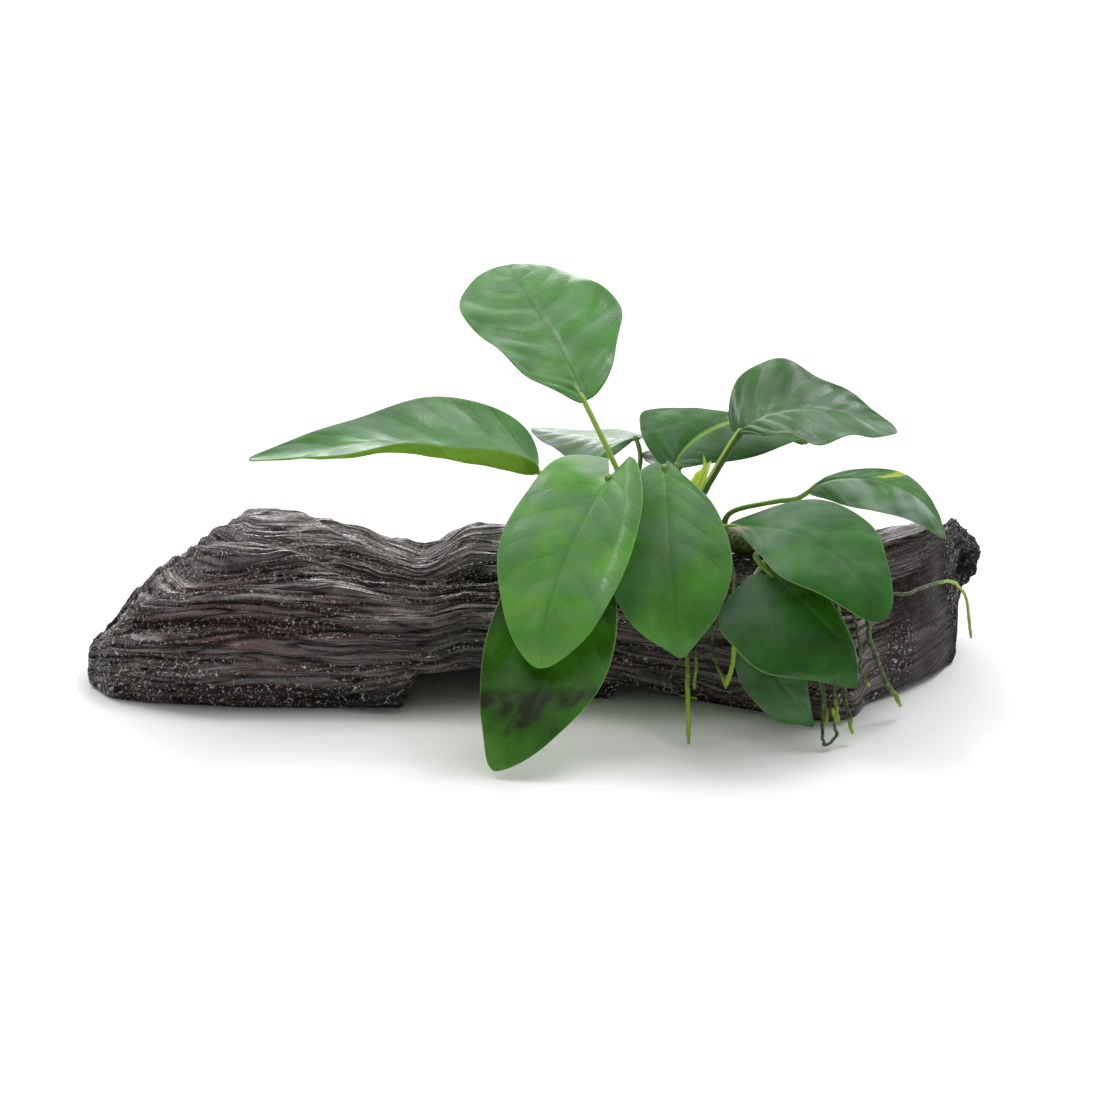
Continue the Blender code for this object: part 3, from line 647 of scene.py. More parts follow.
# Near black from the gap value and from the texture's gaps is painted shade in the gaps.
# The last, pale layer is painted highlights: dots on the crumbs and short glints.
# The lighter grey where the crumb rows are weak is a painted sheen: the glare of the smooth ledges.
# The lighter threads are partly the wood's own tone and partly a painted highlight on the raised
# threads.
paint(tree, shader, "#1b1413", [
    (thread, 0.36, 0.64, 0.0, 1.0, "#6c5c57"), (bead_value, 0.25, 0.6, 0.45, 0.0, "#989191"),
    (patch, 0.4, 0.64, 0.0, 0.4, "#2b1c18"), (brown_value, 0.0, 1.0, 0.0, 0.85, "#502b1e"),
    (green_value, 0.0, 1.0, 0.0, 0.5, "#2a3023"), (gap_shade_value, 0.3, 0.9, 0.0, 0.85, "#080504"),
    (from_gap, 0.004, 0.04, 0.85, 0.0, "#060403"), (pale, 0.0, 1.0, 0.0, 1.0, "#dedbd9")])
film = add(tree, "MapRange", {0: film, 1: 0.35, 2: 0.65, 3: 0.22, 4: 0.42})
gap = add(tree, "MapRange", {0: from_gap, 1: 0.004, 2: 0.04, 3: 1.0, 4: 0.0})
dry = add(tree, "Math", {0: gap, 1: gap_shade_value}, operation="MAXIMUM")
dry = add(tree, "Math", {0: dry, 1: dull_value}, operation="MAXIMUM")
roughness = add(tree, "Math", {0: dry, 1: DRY_ROUGHNESS, 2: film}, operation="MULTIPLY_ADD")
coat = add(tree, "MapRange", {0: dry, 3: 1.0, 4: 0.0})
tree.links.new(roughness, shader.inputs["Roughness"])
tree.links.new(coat, shader.inputs["Coat Weight"])
shader.inputs["IOR"].default_value = WATER_IOR
shader.inputs["Coat IOR"].default_value = WATER_IOR
shader.inputs["Coat Roughness"].default_value = 0.1
round_fibre = add(tree, "MapRange", {0: from_gap, 1: 0.0, 2: 0.12, 3: 0.0, 4: 1.0})
round_bead = add(tree, "MapRange", {0: beads, 1: 0.05, 2: 0.6, 3: 1.0, 4: 0.0},
                 interpolation_type="SMOOTHSTEP")
height = add(tree, "Math", {0: round_bead, 1: bead_value}, operation="MULTIPLY")
for pattern, depth in ((thread, 0.9), (crumb, 0.5), (round_fibre, 0.9)):
    height = add(tree, "Math", {0: pattern, 1: depth, 2: height}, operation="MULTIPLY_ADD")
bump = add(tree, "Bump", {"Strength": 1.0, "Distance": 0.55 * MM, "Height": height})
tree.links.new(bump, shader.inputs["Normal"])
tree.links.new(bump, shader.inputs["Coat Normal"])
skin("driftwood_worn", "driftwood", log_rings, log_ends, log_uv, [wood],
     log_values)
print("driftwood faces:", len(made_pieces[0].data.polygons))

# %% [markdown]
# ## How a leaf is described
#
# Each leaf has four points along its midrib and a direction that its upper face looks. `left` and
# `right` are half widths at five places between base and tip, seen with the tip up, and the bends,
# lobes and curls come in the same pairs. `LOOKS` adds what the eye sees: how strongly the blade is
# quilted left and right, how many veins it has on each side, its darker and lighter green and how
# rough its wax is. The last table is a painted sheen, a grey painted into the colour where the wax
# mirrors the bright room above and behind, which makes it a painted reflection. It gives how strong
# the sheen is left and right, the place along the blade where it is full and the place where it
# ends, its streaks per pair of veins (0 where it lies in level patches) and its colour.

# %% The thirteen leaves
LEAVES = {
    "top": dict(
        rib=[(13, 8, 73), (7, 24, 82), (-1, 42, 90), (-7.5, 60, 96)], face=(0.1, -0.85, 0.5),
        left=(5, 12, 16, 18.7, 11), right=(6, 13.5, 21.5, 16.5, 9.5),
        bend=(0.08, -0.10), lobe=(1, 0),
        curl=(0.0, 0.0), wave=0.9, waves=3.0,
        stalk=[(26, -4, 43), (24, -4, 51.5), (20.5, -2, 59.5)], thick=1.5),
    "left": dict(
        rib=[(1, -18, 62), (-24, -20, 69.2), (-47, -24, 70.8), (-72, -30, 69)],
        face=(-0.1, -0.05, 1.0),
        left=(11, 13, 13, 11, 4), right=(14, 19, 13.5, 6.5, 2.5), bend=(0.06, 0.40), lobe=(0, 0),
        curl=(0.36, 0.0), wave=0.6, waves=2.5,
        stalk=[(25, -8, 43), (19, -12, 52), (10, -16, 58)], thick=1.5),
    "front_left": dict(
        rib=[(19, -34, 66), (11, -48, 57), (4, -60, 43), (2, -66, 27)], face=(-0.1, -0.75, 0.65),
        left=(6.5, 13.8, 16, 12.7, 6.3), right=(13.5, 16.7, 17, 11, 4.7),
        bend=(-0.06, -0.08), lobe=(9, 6),
        curl=(0.4, 0.0), wave=0.6, waves=2.0,
        stalk=[(29, -9, 43), (27, -18, 53), (23, -28, 61)], thick=1.6),
    "front_right": dict(
        rib=[(33, -26, 66), (34, -40, 54), (35, -50, 39), (37, -54, 25)], face=(0.0, -0.8, 0.6),
        left=(4, 12.2, 15.2, 11, 4), right=(8, 13, 16, 11.8, 3.4), bend=(-0.08, -0.10), lobe=(2, 2),
        curl=(0.0, 0.0), wave=0.4, waves=2.0,
        stalk=[(36, -9, 43), (36, -14, 52), (34, -20, 60)], thick=1.5),
    "low_front": dict(
        rib=[(8, -34, 44), (6, -52, 32), (0, -66, 17), (-10.5, -71, 2.2)], face=(-0.2, -0.85, 0.45),
        left=(9, 14, 14.3, 8, 3.2), right=(9, 14.5, 16, 12.5, 5.8), bend=(-0.05, 0.06), lobe=(3, 3),
        curl=(0.0, 0.3), wave=0.3, waves=2.0,
        stalk=[(28, -5, 40), (19, -20, 46), (11, -27, 49)], thick=1.5),
    "back_left": dict(
        rib=[(27, 16, 60), (19, 26, 57.3), (9, 36, 55.3), (-1, 46, 53)], face=(0.0, 0.15, 1.0),
        left=(10.5, 10.5, 8.6, 5, 2), right=(3.5, 11, 12, 7, 3), bend=(-0.60, -0.05), lobe=(0, 1),
        curl=(0.0, 0.0), wave=0.5, waves=2.0,
        stalk=[(24, -5, 40), (25.5, 3, 48), (28, 9.5, 55.5)], thick=1.3),
    "middle": dict(
        rib=[(37, -4, 59), (43, 6, 63), (58, 23, 63.3), (74, 38, 51)], face=(0.46, -0.55, 0.66),
        left=(5, 14, 22, 10, 4), right=(2.5, 7, 16, 15, 5), bend=(-0.35, 0.02), lobe=(2, 1),
        face_tip=(-0.25, -0.05, 1.0), curl=(0.0, 0.0), wave=0.6, waves=2.0,
        stalk=[(39, -5, 43), (38, -7, 50), (37, -6, 55)], thick=1.5),
    "inner": dict(
        rib=[(38, 9, 54), (36, 14.5, 55), (34, 20, 55), (32, 26, 53)], face=(-0.2, 0.1, 1.0),
        left=(3.5, 6, 6.5, 5, 3), right=(3.5, 5.5, 6, 5, 3), bend=(0.1, 0.1), lobe=(1, 1),
        curl=(0.0, 0.0), wave=0.3, waves=2.0,
        stalk=[(35, -3, 43), (37.5, 1, 48), (38.5, 5, 52)], thick=1.1),
    "right_top": dict(
        rib=[(53, -2, 67), (64, -2, 73), (80, 0, 72), (95, 4, 66)], face=(-0.1, -0.25, 1.0),
        left=(10, 20, 17.5, 8.3, 3.5), right=(3.5, 9.5, 14.8, 9.5, 4.5),
        bend=(0.18, -0.05), lobe=(1, 0),
        curl=(0.0, 0.0), wave=1.1, waves=3.0,
        stalk=[(40, -11, 42), (43, -11, 52), (48, -7, 60)], thick=2.1),
    "far_right": dict(
        rib=[(72, -16, 57), (84, -18, 60), (96, -22, 57), (105, -27, 47)], face=(0.2, -0.1, 1.0),
        left=(1.5, 5, 8.3, 5.5, 1.2), right=(3.8, 8, 9.3, 6, 2.5), bend=(0.08, -0.50), lobe=(2, 2),
        curl=(0.0, 0.0), wave=0.3, waves=2.0,
        stalk=[(49, -8, 41), (50.5, -20, 51.5), (61, -20, 54.3), (67.5, -18, 54.6)], thick=1.3),
    "right_mid": dict(
        rib=[(51, -26, 50), (66, -38, 52), (78, -50, 48), (86, -58, 36.3)], face=(0.15, -0.45, 0.9),
        left=(5.5, 17, 16.5, 10, 5.3), right=(3, 10, 15.7, 11, 5.7),
        bend=(-0.05, -0.08), lobe=(2, 2),
        curl=(0.0, 0.0), wave=0.3, waves=2.0,
        stalk=[(46, -10, 41), (46, -19, 47), (48, -24, 49)], thick=1.4),
    "right_low": dict(
        rib=[(59.5, -41, 42.5), (67, -47, 37), (75.5, -52, 29), (80.5, -55.5, 17.5)],
        face=(0.1, -0.8, 0.6),
        left=(4, 7, 5.5, 3.3, 1), right=(17, 20, 19.8, 13.8, 6.5), bend=(-0.05, -0.08), lobe=(2, 3),
        curl=(0.0, 0.0), wave=0.3, waves=2.0,
        stalk=[(62, -9, 38), (60.5, -23, 43), (56, -35.5, 45.2)], thick=1.4),
    "bottom_right": dict(
        rib=[(56, -40, 25), (60, -46, 18.5), (65, -51, 12.5), (70.5, -51, 5)],
        face=(-0.25, -0.9, 0.4),
        left=(3, 6.5, 7, 3.7, 1.2), right=(6, 8.6, 8.1, 6.6, 2), bend=(0.0, -0.10), lobe=(1, 1),
        curl=(0.0, 0.0), wave=0.2, waves=2.0,
        stalk=[(62, -12, 38), (55, -34, 37), (54, -38, 31)], thick=1.2),
}
LOOKS = {
    "top": ((0.6, 0.3), 8, "#2a6c13", "#448928", 0.38),
    "left": ((0.3, 0.3), 8, "#2c671d", "#478733", 0.36),
    "front_left": ((0.24, 0.24), 8, "#4a8f2c", "#67aa3a", 0.36),
    "front_right": ((0.18, 0.18), 8, "#3a7722", "#559930", 0.36),
    "low_front": ((0.14, 0.14), 8, "#1f4a06", "#3c7815", 0.32),
    "back_left": ((0.25, 0.25), 7, "#4a7a44", "#6a9a60", 0.34),
    "middle": ((0.22, 0.22), 8, "#144b08", "#226111", 0.72),
    "inner": ((0.12, 0.12), 6, "#16400d", "#265c17", 0.36),
    "right_top": ((0.38, 0.44), 8, "#194c0d", "#2a6819", 0.36),
    "far_right": ((0.28, 0.34), 8, "#235717", "#3d7a2c", 0.6),
    "right_mid": ((0.18, 0.18), 8, "#184e0c", "#296d15", 0.72),
    "right_low": ((0.18, 0.18), 8, "#184a08", "#276a12", 0.34),
    "bottom_right": ((0.1, 0.1), 6, "#2b5a22", "#447a38", 0.36),
}
# Painted sheen: a grey painted into the leaf colour where the wax mirrors the bright room.
PAINTED_SHEEN = {
    "top": ((0.48, 0.32), (0.5, 0), 3.6, "#839d86"),
    "left": ((0.55, 0.55), (0.6, 0.1), 0, "#86a08b"),
    "front_left": ((0.65, 0.65), (0.3, 1.4), 0, "#658569"),
    "front_right": ((0.7, 0.7), (0.3, 0.85), 0, "#66826b"),
    "low_front": ((0.6, 0.6), (1.0, 0.75), 0, "#67aa30"),
    "back_left": ((0.95, 0.95), (1, -1), 2, "#aab5bb"),
    "middle": ((0.0, 0.45), (0.1, 1.3), 0, "#86a08b"),
    "inner": ((0.05, 0.05), (0.3, 0.9), 0, "#86a08b"),
    "right_top": ((0.25, 0.42), (0.6, 0), 3.6, "#839d88"),
    "far_right": ((0.1, 0.85), (1, -1), 1.6, "#aabcb1"),
    "right_mid": ((0.8, 0.8), (0.2, 0.7), 0, "#657f6b"),
    "right_low": ((0.5, 0.5), (0.1, 0.5), 0, "#718a76"),
    "bottom_right": ((0.75, 0.75), (0.2, 1.3), 0, "#7b9182"),
}
print("leaves:", len(LEAVES))

# %% [markdown]
# The blade's formulas are the solid's own: a cubic through the four midrib points, a width that
# follows the table, a bend, a rolled margin and a ripple that is strongest half way along.

# %% Points of a blade's middle surface
def through(points, t):
    """Points of the smooth curve through four points spaced evenly from t = 0 to t = 1."""
    p = np.array(points, float)
    b = t - 1.0 / 3.0
    c = t - 2.0 / 3.0
    d = t - 1.0
    weights = (-4.5 * b * c * d, 13.5 * t * c * d, -13.5 * t * b * d, 4.5 * t * b * c)
    return sum(np.asarray(w)[..., None] * q for w, q in zip(weights, p))


def unit(v):
    """Vectors of length 1."""
    return v / np.linalg.norm(v, axis=-1, keepdims=True)


def soft_curve(a, b, c, d, f):
    """The point at share f of the way from b to c on the soft curve through a, b, c and d."""
    bend = 2.0 * a - 5.0 * b + 4.0 * c - d + f * (3.0 * (b - c) + d - a)
    return b + 0.5 * f * (c - a + f * bend)


def half_width(widths, t):
    """The blade's half width at t, on a soft curve that starts and ends round at 0."""
    k = np.array([-widths[0], 0.0, *widths, 0.0, -widths[-1]], float)
    at = np.arccos(np.clip(1.0 - 2.0 * t, -1.0, 1.0)) / np.pi * (len(widths) + 1)
    n = np.clip(np.floor(at).astype(int), 0, len(widths))
    return soft_curve(k[n], k[n + 1], k[n + 2], k[n + 3], at - n)


def blade_points(leaf, t, side):
    """Middle surface, upward direction and distance from the midrib for arrays of t and side."""
    ahead = through(leaf["rib"], np.minimum(1.0, t + 0.01))
    behind = through(leaf["rib"], np.maximum(0.0, t - 0.01))
    along = unit(ahead - behind)
    base_face = np.array(leaf["face"], float)
    tip_face = np.array(leaf.get("face_tip", leaf["face"]), float)
    face = base_face + (tip_face - base_face) * t[..., None]
    across = unit(np.cross(along, face))
    up = unit(np.cross(across, along))
    left = side < 0.0
    bend, lobe, curl = [np.where(left, *leaf[key]) for key in ("bend", "lobe", "curl")]
    width = np.where(left, half_width(leaf["left"], t), half_width(leaf["right"], t))
    size = np.abs(side)
    reach = width * size
    back = -lobe * size ** 1.5 * (1.0 - t) ** 5
    ripple = leaf["wave"] * np.sin(2.0 * np.pi * leaf["waves"] * t + np.where(left, 0.0, 1.6))
    roll = curl * width * np.maximum(0.0, size - 0.6) ** 2 * 9.0 * (1.0 - t)
    lift = bend * reach * size + roll + ripple * side * side * np.sin(np.pi * t)
    shift = across * (np.where(left, -1.0, 1.0) * reach)[..., None]
    middle = through(leaf["rib"], t) + shift + up * lift[..., None] + along * back[..., None]
    return middle, up, reach


print("largest half width on the left:", max(max(leaf["left"]) for leaf in LEAVES.values()), "mm")


# %% [markdown]
# ## Marks on single leaves
#
# Real leaves aren't clean. One carries a brown band of dirt, one a yellow scar, and some are pale
# at the base. Each mark is a share between 0 and 1 over the blade, where t runs from base to tip
# and side from -1 to 1. The dirt settled in a level band, so it is measured up and down as the
# camera sees it.

# %% Marks
def marks(name, t, side, high, uneven):
    """The share of the leaf's own mark and its colour; high is how far up a point is seen."""
    size = np.abs(side)
    if name == "low_front":
        seen = high + 1.4 * uneven
        band = smooth(-1.0, -4.0, seen) * smooth(-8.4, -5.0, seen)
        patch = 1.4 * hump(side, 0.12, 0.8) * smooth(-2.0, -5.0, seen) * smooth(-14.5, -8.5, seen)
        return np.clip(np.maximum(band, patch), 0.0, 1.0) * (0.82 + 0.4 * uneven), "#211a12"
    if name == "far_right":
        streak = np.abs(t - 0.40 - 0.16 * size + 0.015 * uneven)
        return smooth(0.04, 0.02, streak) * (side < 0.0) * smooth(0.2, 0.4, size), "#a8c23a"
    if name == "front_left":
        return 0.55 * smooth(0.13, 0.03, t) * (side > 0.0) * smooth(0.15, 0.5, size), "#9db59a"
    if name == "right_mid":
        near_base = smooth(0.14, 0.04, t + 0.03 * uneven)
        return 0.75 * near_base * (side > 0.0) * smooth(0.1, 0.4, size), "#a89f8c"
    if name == "middle":
        return 0.9 * hump(t, 0.62, 0.1) * hump(side, 0.0, 0.22), "#8bb53c"
    if name == "top":
        return 0.5 * hump(t, 0.93, 0.07) * hump(side, -0.2, 0.7), "#3c7c22"
    return 0.0 * t, "#7fae4c"


print("the bright midrib of the middle leaf:", marks("middle", 0.62, 0.0, 0.0, 0.0))


# %% [markdown]
# ## From formula to blade
#
# A living blade is half a millimetre thick. Its upper side sinks at the midrib and at the side
# veins and swells between them, and the midrib stands out on the underside. The two skins meet in a
# thin rounded margin. Two values per vertex let the material draw veins exactly where the surface
# sinks: `Side` runs from 0 at the midrib to 1 at the margin, and `Phase` grows by 1 from vein to
# vein. One more value is the share of painted sheen, a grey painted reflection, which lies in
# streaks or in level patches.

# %% Build one blade
BLADE_ALONG = 108
BLADE_ACROSS = 46
RIM_HALF = 0.10
BODY_HALF = 0.16
MIDRIB_WIDTH = 0.7
MIDRIB_SINKS = 0.32
MIDRIB_STANDS = 0.62
VEIN_BOW = 0.22


def painted_sheen_share(name, t, side, phase, middle, high, seed):
    """How much painted sheen, a grey painted reflection, lies on each point of a blade."""
    sheen_strength, fade, streaks = PAINTED_SHEEN[name][:3]
    pattern = field(middle[..., 0] / 15.0, high / 5.0, 0.0, seed)
    if streaks:
        pattern = field(phase * streaks / 2.0, side * 0.8, 0.0, seed)
    pattern = 0.8 * pattern + 0.35 * field(middle[..., 0] / 4.5, high / 2.0, 0.0, seed + 20)
    painted_sheen = np.where(side < 0.0, sheen_strength[0], sheen_strength[1]) * smooth(fade[1], fade[0], t)
    return painted_sheen * np.clip(0.65 + 0.7 * pattern, 0.0, 1.0)


def build_blade(name, leaf, materials):
    """The blade as a closed shell: ring by ring across the upper skin and back along the lower."""
    quilt, veins = LOOKS[name][:2]
    seed = 20 + sorted(LEAVES).index(name)
    steps = np.arange(BLADE_ALONG) / (BLADE_ALONG - 1)
    spread = np.linspace(-1.0, 1.0, BLADE_ACROSS + 1)
    sides = np.sign(spread) * (1.0 - (1.0 - np.abs(spread)) ** 1.25)
    t, side = np.meshgrid(0.003 + 0.994 * (0.5 - 0.5 * np.cos(np.pi * steps)), sides, indexing="ij")
    middle, up, reach = blade_points(leaf, t, side)
    size = np.abs(side)
    bow = VEIN_BOW * size ** 1.3 + 0.012 * field(t * 6.0, side * 2.0, 0.0, seed + 40)
    phase = veins * (t - bow) + np.where(side < 0.0, 0.0, 0.35)
    inside = smooth(1.0, 0.82, size) * smooth(0.0, 0.1, t) * smooth(1.0, 0.86, t)
    swell = np.abs(np.sin(np.pi * phase)) ** 1.3 - 0.6
    uneven = 0.6 + 0.4 * field(t * 4.0, side * 2.0, 0.0, seed)
    soft = field(*np.moveaxis(middle / 15.0, -1, 0), seed)
    quilted = np.where(side < 0.0, quilt[0], quilt[1]) * smooth(0.0, 2.5, reach)
    surface = quilted * swell * uneven * inside + 0.3 * soft * inside
    groove = np.exp(-(reach / MIDRIB_WIDTH) ** 2) * smooth(1.0, 0.5, t)
    half = RIM_HALF + BODY_HALF * np.sqrt(np.maximum(0.0, 1.0 - size ** 6))
    sunk = surface + half - MIDRIB_SINKS * groove
    hanging = surface - half - MIDRIB_STANDS * groove * smooth(1.05, 0.3, t)
    upper = middle + up * sunk[..., None]
    lower = middle + up * hanging[..., None]
    high = seen_height(middle[..., 1], middle[..., 2])
    blotch = 0.6 * field(t * 9.0, side * 4.0, 0.0, seed + 20)
    blotch = blotch + 0.4 * field(t * 30.0, side * 13.0, 0.0, seed + 21)
    mark = marks(name, t, side, high, blotch)[0]
    painted_sheen = painted_sheen_share(name, t, side, phase, middle, high, seed + 60)
    rings = np.concatenate([upper, lower[:, ::-1]], axis=1)
    uv_top = np.stack([side * 0.5 + 0.5, t], axis=-1)
    uv = np.concatenate([uv_top, uv_top[:, ::-1]], axis=1)
    values = {"Side": size, "Phase": phase + 10.0, "Mark": mark, "PaintedSheen": painted_sheen}
    values = {label: np.concatenate([v, v[:, ::-1]], axis=1) for label, v in values.items()}
    ends = [tuple(through(leaf["rib"], 0.0)), tuple(through(leaf["rib"], 1.0))]
    under = np.zeros((1, rings.shape[1]))
    under[0, BLADE_ACROSS + 1:2 * BLADE_ACROSS + 1] = 1
    skin("blade_" + name, "leaf_" + name, rings, ends, uv, materials, values, under)


print("triangles a blade:", 4 * BLADE_ALONG * (BLADE_ACROSS + 1))

# %% [markdown]
# ## Leaf wax, above and below
#
# An anubias leaf is leathery, with a waxy skin. The wax has an IOR near 1.45 and lies a little
# uneven, so a window mirrors in it as a soft grey sheen and the green is deepest where nothing
# mirrors. Side veins lie 6 to 9 mm apart with four fine veins between two of them. The underside
# has no gloss and is yellow-green. Both skins let some light through, which is what makes a leaf
# glow where the light stands behind it.

# %% Leaf materials
WAX_IOR = 1.45
DULL_WAX = 0.5
DARK_MIDRIB = (0.01, 0.045, 0.22, 0.0, "#244d16")
PALE_MIDRIB = (0.015, 0.05, 0.8, 0.0, "#86b04a")


def leaf_material(name, under):
    """One skin of a leaf."""
    dark, light, wax = LOOKS[name][2:]
    sheen_grey = PAINTED_SHEEN[name][3]
    material, tree, shader = start_material(("leaf_underside_" if under else "leaf_wax_") + name)
    side, phase, mark, painted_sheen = [add(tree, "Attribute", out="Fac", attribute_name=label)
                               for label in ("Side", "Phase", "Mark", "PaintedSheen")]
    space = add(tree, "TexCoord", out="Object")
    mottle = add(tree, "TexNoise", {0: space, "Scale": every(9.0), "Detail": 4.0})
    speck = add(tree, "TexNoise", {0: space, "Scale": every(1.6), "Detail": 3.0})
    grain = add(tree, "TexNoise", {0: space, "Scale": every(0.9), "Detail": 2.0})
    near = add(tree, "Math", {0: phase, 1: 0.5}, operation="PINGPONG")
    fine = add(tree, "Math", {0: phase, 1: 5.0}, operation="MULTIPLY")
    fine = add(tree, "Math", {0: fine, 1: 0.5}, operation="PINGPONG")
    vein = add(tree, "MapRange", {0: near, 1: 0.0, 2: 0.08, 3: 1.0, 4: 0.0})
    fine_vein = add(tree, "MapRange", {0: fine, 1: 0.0, 2: 0.25, 3: 1.0, 4: 0.0})
    if under:
        colour = paint(tree, shader, "#7fb52f", [
            (mottle, 0.36, 0.66, 0.0, 1.0, "#9ccd42"), (vein, 0.0, 1.0, 0.0, 0.5, "#b5d468"),
            (side, 0.984, 0.996, 0.0, 0.6, "#b5d468")])
        shader.inputs["Roughness"].default_value = 0.55
    else:
        midrib = PALE_MIDRIB if name == "middle" else DARK_MIDRIB
        mark_colour = marks(name, 0, 0, 0, 0)[1]
        # The grey layer from the sheen share is painted sheen, a painted reflection of the room.
        colour = paint(tree, shader, dark, [
            (mottle, 0.36, 0.66, 0.0, 1.0, light), (speck, 0.42, 0.62, 0.0, 0.14, dark),
            (fine_vein, 0.0, 1.0, 0.0, 0.05, "#7fb050"), (vein, 0.0, 1.0, 0.0, 0.2, dark),
            (painted_sheen, 0.0, 1.0, 0.0, 0.8, sheen_grey), (side, *midrib),
            (mark, 0.1, 0.9, 0.0, 0.92, mark_colour), (side, 0.984, 0.996, 0.0, 0.6, "#93bb5c")])
        film = add(tree, "TexNoise", {0: space, "Scale": every(11.0), "Detail": 3.0,
                                      "Distortion": 0.6})
        film = add(tree, "MapRange", {0: film, 1: 0.42, 2: 0.58, 3: wax - 0.1, 4: wax + 0.1})
        tree.links.new(film, shader.inputs["Roughness"])
        shader.inputs["Coat Weight"].default_value = 0.1 if wax < DULL_WAX else 0.0
        shader.inputs["Coat Roughness"].default_value = 0.25
    shader.inputs["IOR"].default_value = WAX_IOR
    vein_rise = 0.6 if under else -0.5
    height = add(tree, "Math", {0: vein, 1: vein_rise, 2: grain}, operation="MULTIPLY_ADD")
    height = add(tree, "Math", {0: fine_vein, 1: 0.1, 2: height}, operation="MULTIPLY_ADD")
    bump = add(tree, "Bump", {"Strength": 0.4, "Distance": 0.2 * MM, "Height": height})
    tree.links.new(bump, shader.inputs["Normal"])
    lit = add(tree, "Mix", {0: 0.5, 6: colour, 7: linear("#8fbf30")}, out=2, data_type="RGBA")
    let_light_through(tree, shader, lit, 0.45 if under else 0.16)
    return material


for name, leaf in LEAVES.items():
    build_blade(name, leaf, [leaf_material(name, False), leaf_material(name, True)])
print("blades:", len(made_pieces) - 1)

# %% [markdown]
# ## Strands
#
# Stalks, roots and the creeping stem are round strands. A strand follows a soft curve through its
# knots, and its rings turn with the curve without twisting.

# %% Strand helpers
def smooth_path(knots, count):
    """Evenly numbered points on a soft curve that passes through the knots."""
    k = [np.array(q, float) for q in knots]
    k = [k[0] * 2 - k[1]] + k + [k[-1] * 2 - k[-2]]
    path = []
    for i in range(count):
        at = (len(k) - 3) * i / (count - 1)
        n = min(int(at), len(k) - 4)
        path.append(soft_curve(*k[n:n + 4], at - n))
    return np.array(path)


def strand(name, node, path, radii, sides, material, rough=0.0, grain=1.0, flat=1.0, seed=1):
    """A tube along a path; rough is the share by which noise changes its radius."""
    along = unit(np.gradient(path, axis=0))
    guide = np.array([0.0, 1.0, 0.0]) if abs(along[0][1]) < 0.9 else np.array([1.0, 0.0, 0.0])
    turns_at = 2.0 * np.pi * np.arange(sides) / sides
    rings = []
    for n, place in enumerate(path):
        a = unit(np.cross(along[n], guide))
        guide = np.cross(a, along[n])
        ring = np.outer(np.cos(turns_at), a) + np.outer(np.sin(turns_at), guide) * flat
        bumps = field(*((place + ring * radii[n]) / grain).T, seed)
        rings.append(place + ring * (radii[n] * (1.0 + rough * bumps))[:, None])
    start = path[0] - along[0] * radii[0] * 0.5
    end = path[-1] + along[-1] * radii[-1] * 0.7
    around = np.linspace(0.0, 1.0, sides + 1)
    steps = np.linspace(0.0, 1.0, len(path))
    uv = np.stack(np.meshgrid(steps, around, indexing="ij")[::-1], axis=-1)
    skin(name, node, np.array(rings), [tuple(start), tuple(end)], uv, [material])


print("half way along a bent path:", smooth_path([(0, 0, 0), (10, 0, 5), (20, 0, 0)], 3)[1])

# %% [markdown]
# ## Stalks
#
# A stalk is juicy and yellow-green, with fine lengthwise streaks. It swells a little where it
# leaves the stem, thins at the blade and runs on under it as the midrib. The stalk on the right is
# painted with shade on one side: its left edge is light and its right side painted dark. The map's
# first direction runs around the stalk and starts at its left, so it can tell the two apart.

# %% Stalk material and stalks
def stalk_material(name, pale, deep, shaded=0.0):
    """A stalk's skin, with streaks along it; shaded is how dark its right side is painted, as
    painted shade.
    """
    material, tree, shader = start_material(name)
    place = add(tree, "UVMap", uv_map="Grain")
    stretched = add(tree, "Mapping", {0: place, 3: (9.0, 1.6, 1.0)})
    streaks = add(tree, "TexNoise", {0: stretched, "Scale": 1.0, "Detail": 4.0})
    around = add(tree, "SeparateXYZ", {0: place})
    # The last layer is painted shade: it darkens the stalk's right side when shaded is above 0.
    colour = paint(tree, shader, pale, [
        (streaks, 0.38, 0.62, 0.0, 1.0, deep), (around.node.outputs[1], 0.0, 0.25, 0.5, 0.0, deep),
        (around, 0.80, 0.88, shaded, 0.0, "#2c4f18")])
    shader.inputs["Roughness"].default_value = 0.36
    shader.inputs["IOR"].default_value = WAX_IOR
    bump = add(tree, "Bump", {"Strength": 0.6, "Distance": 0.2 * MM, "Height": streaks})
    tree.links.new(bump, shader.inputs["Normal"])
    let_light_through(tree, shader, colour, 0.18)
    return material


pale_stalk = stalk_material("juicy_stalk_pale", "#a9c852", "#86ac3c")
dark_stalk = stalk_material("juicy_stalk_dark", "#86ab3e", "#4f7d27")
side_shaded_stalk = stalk_material("juicy_stalk_side_shaded", "#a3c450", "#7fa53a", 0.85)
STALK_SKINS = {"top": pale_stalk, "left": pale_stalk, "right_top": side_shaded_stalk}
STALK_STEPS = 46
for name, leaf in LEAVES.items():
    near, up = blade_points(leaf, np.array([0.0, 0.05]), np.array([0.0, 0.0]))[:2]
    knots = leaf["stalk"] + [tuple(near[0] - 0.25 * up[0]), tuple(near[1] - 0.45 * up[1])]
    steps = np.linspace(0.0, 1.0, STALK_STEPS)
    thick = 1.0 + 0.35 * (1.0 - smooth(0.0, 0.3, steps)) - 0.6 * smooth(0.72, 1.0, steps)
    path = smooth_path(knots, STALK_STEPS)
    radii = 0.5 * leaf["thick"] * thick
    strand("stem_" + name, "stalk_" + name, path, radii, 18,
           STALK_SKINS.get(name, dark_stalk), rough=0.05, grain=1.6)
print("stalks:", len(LEAVES))

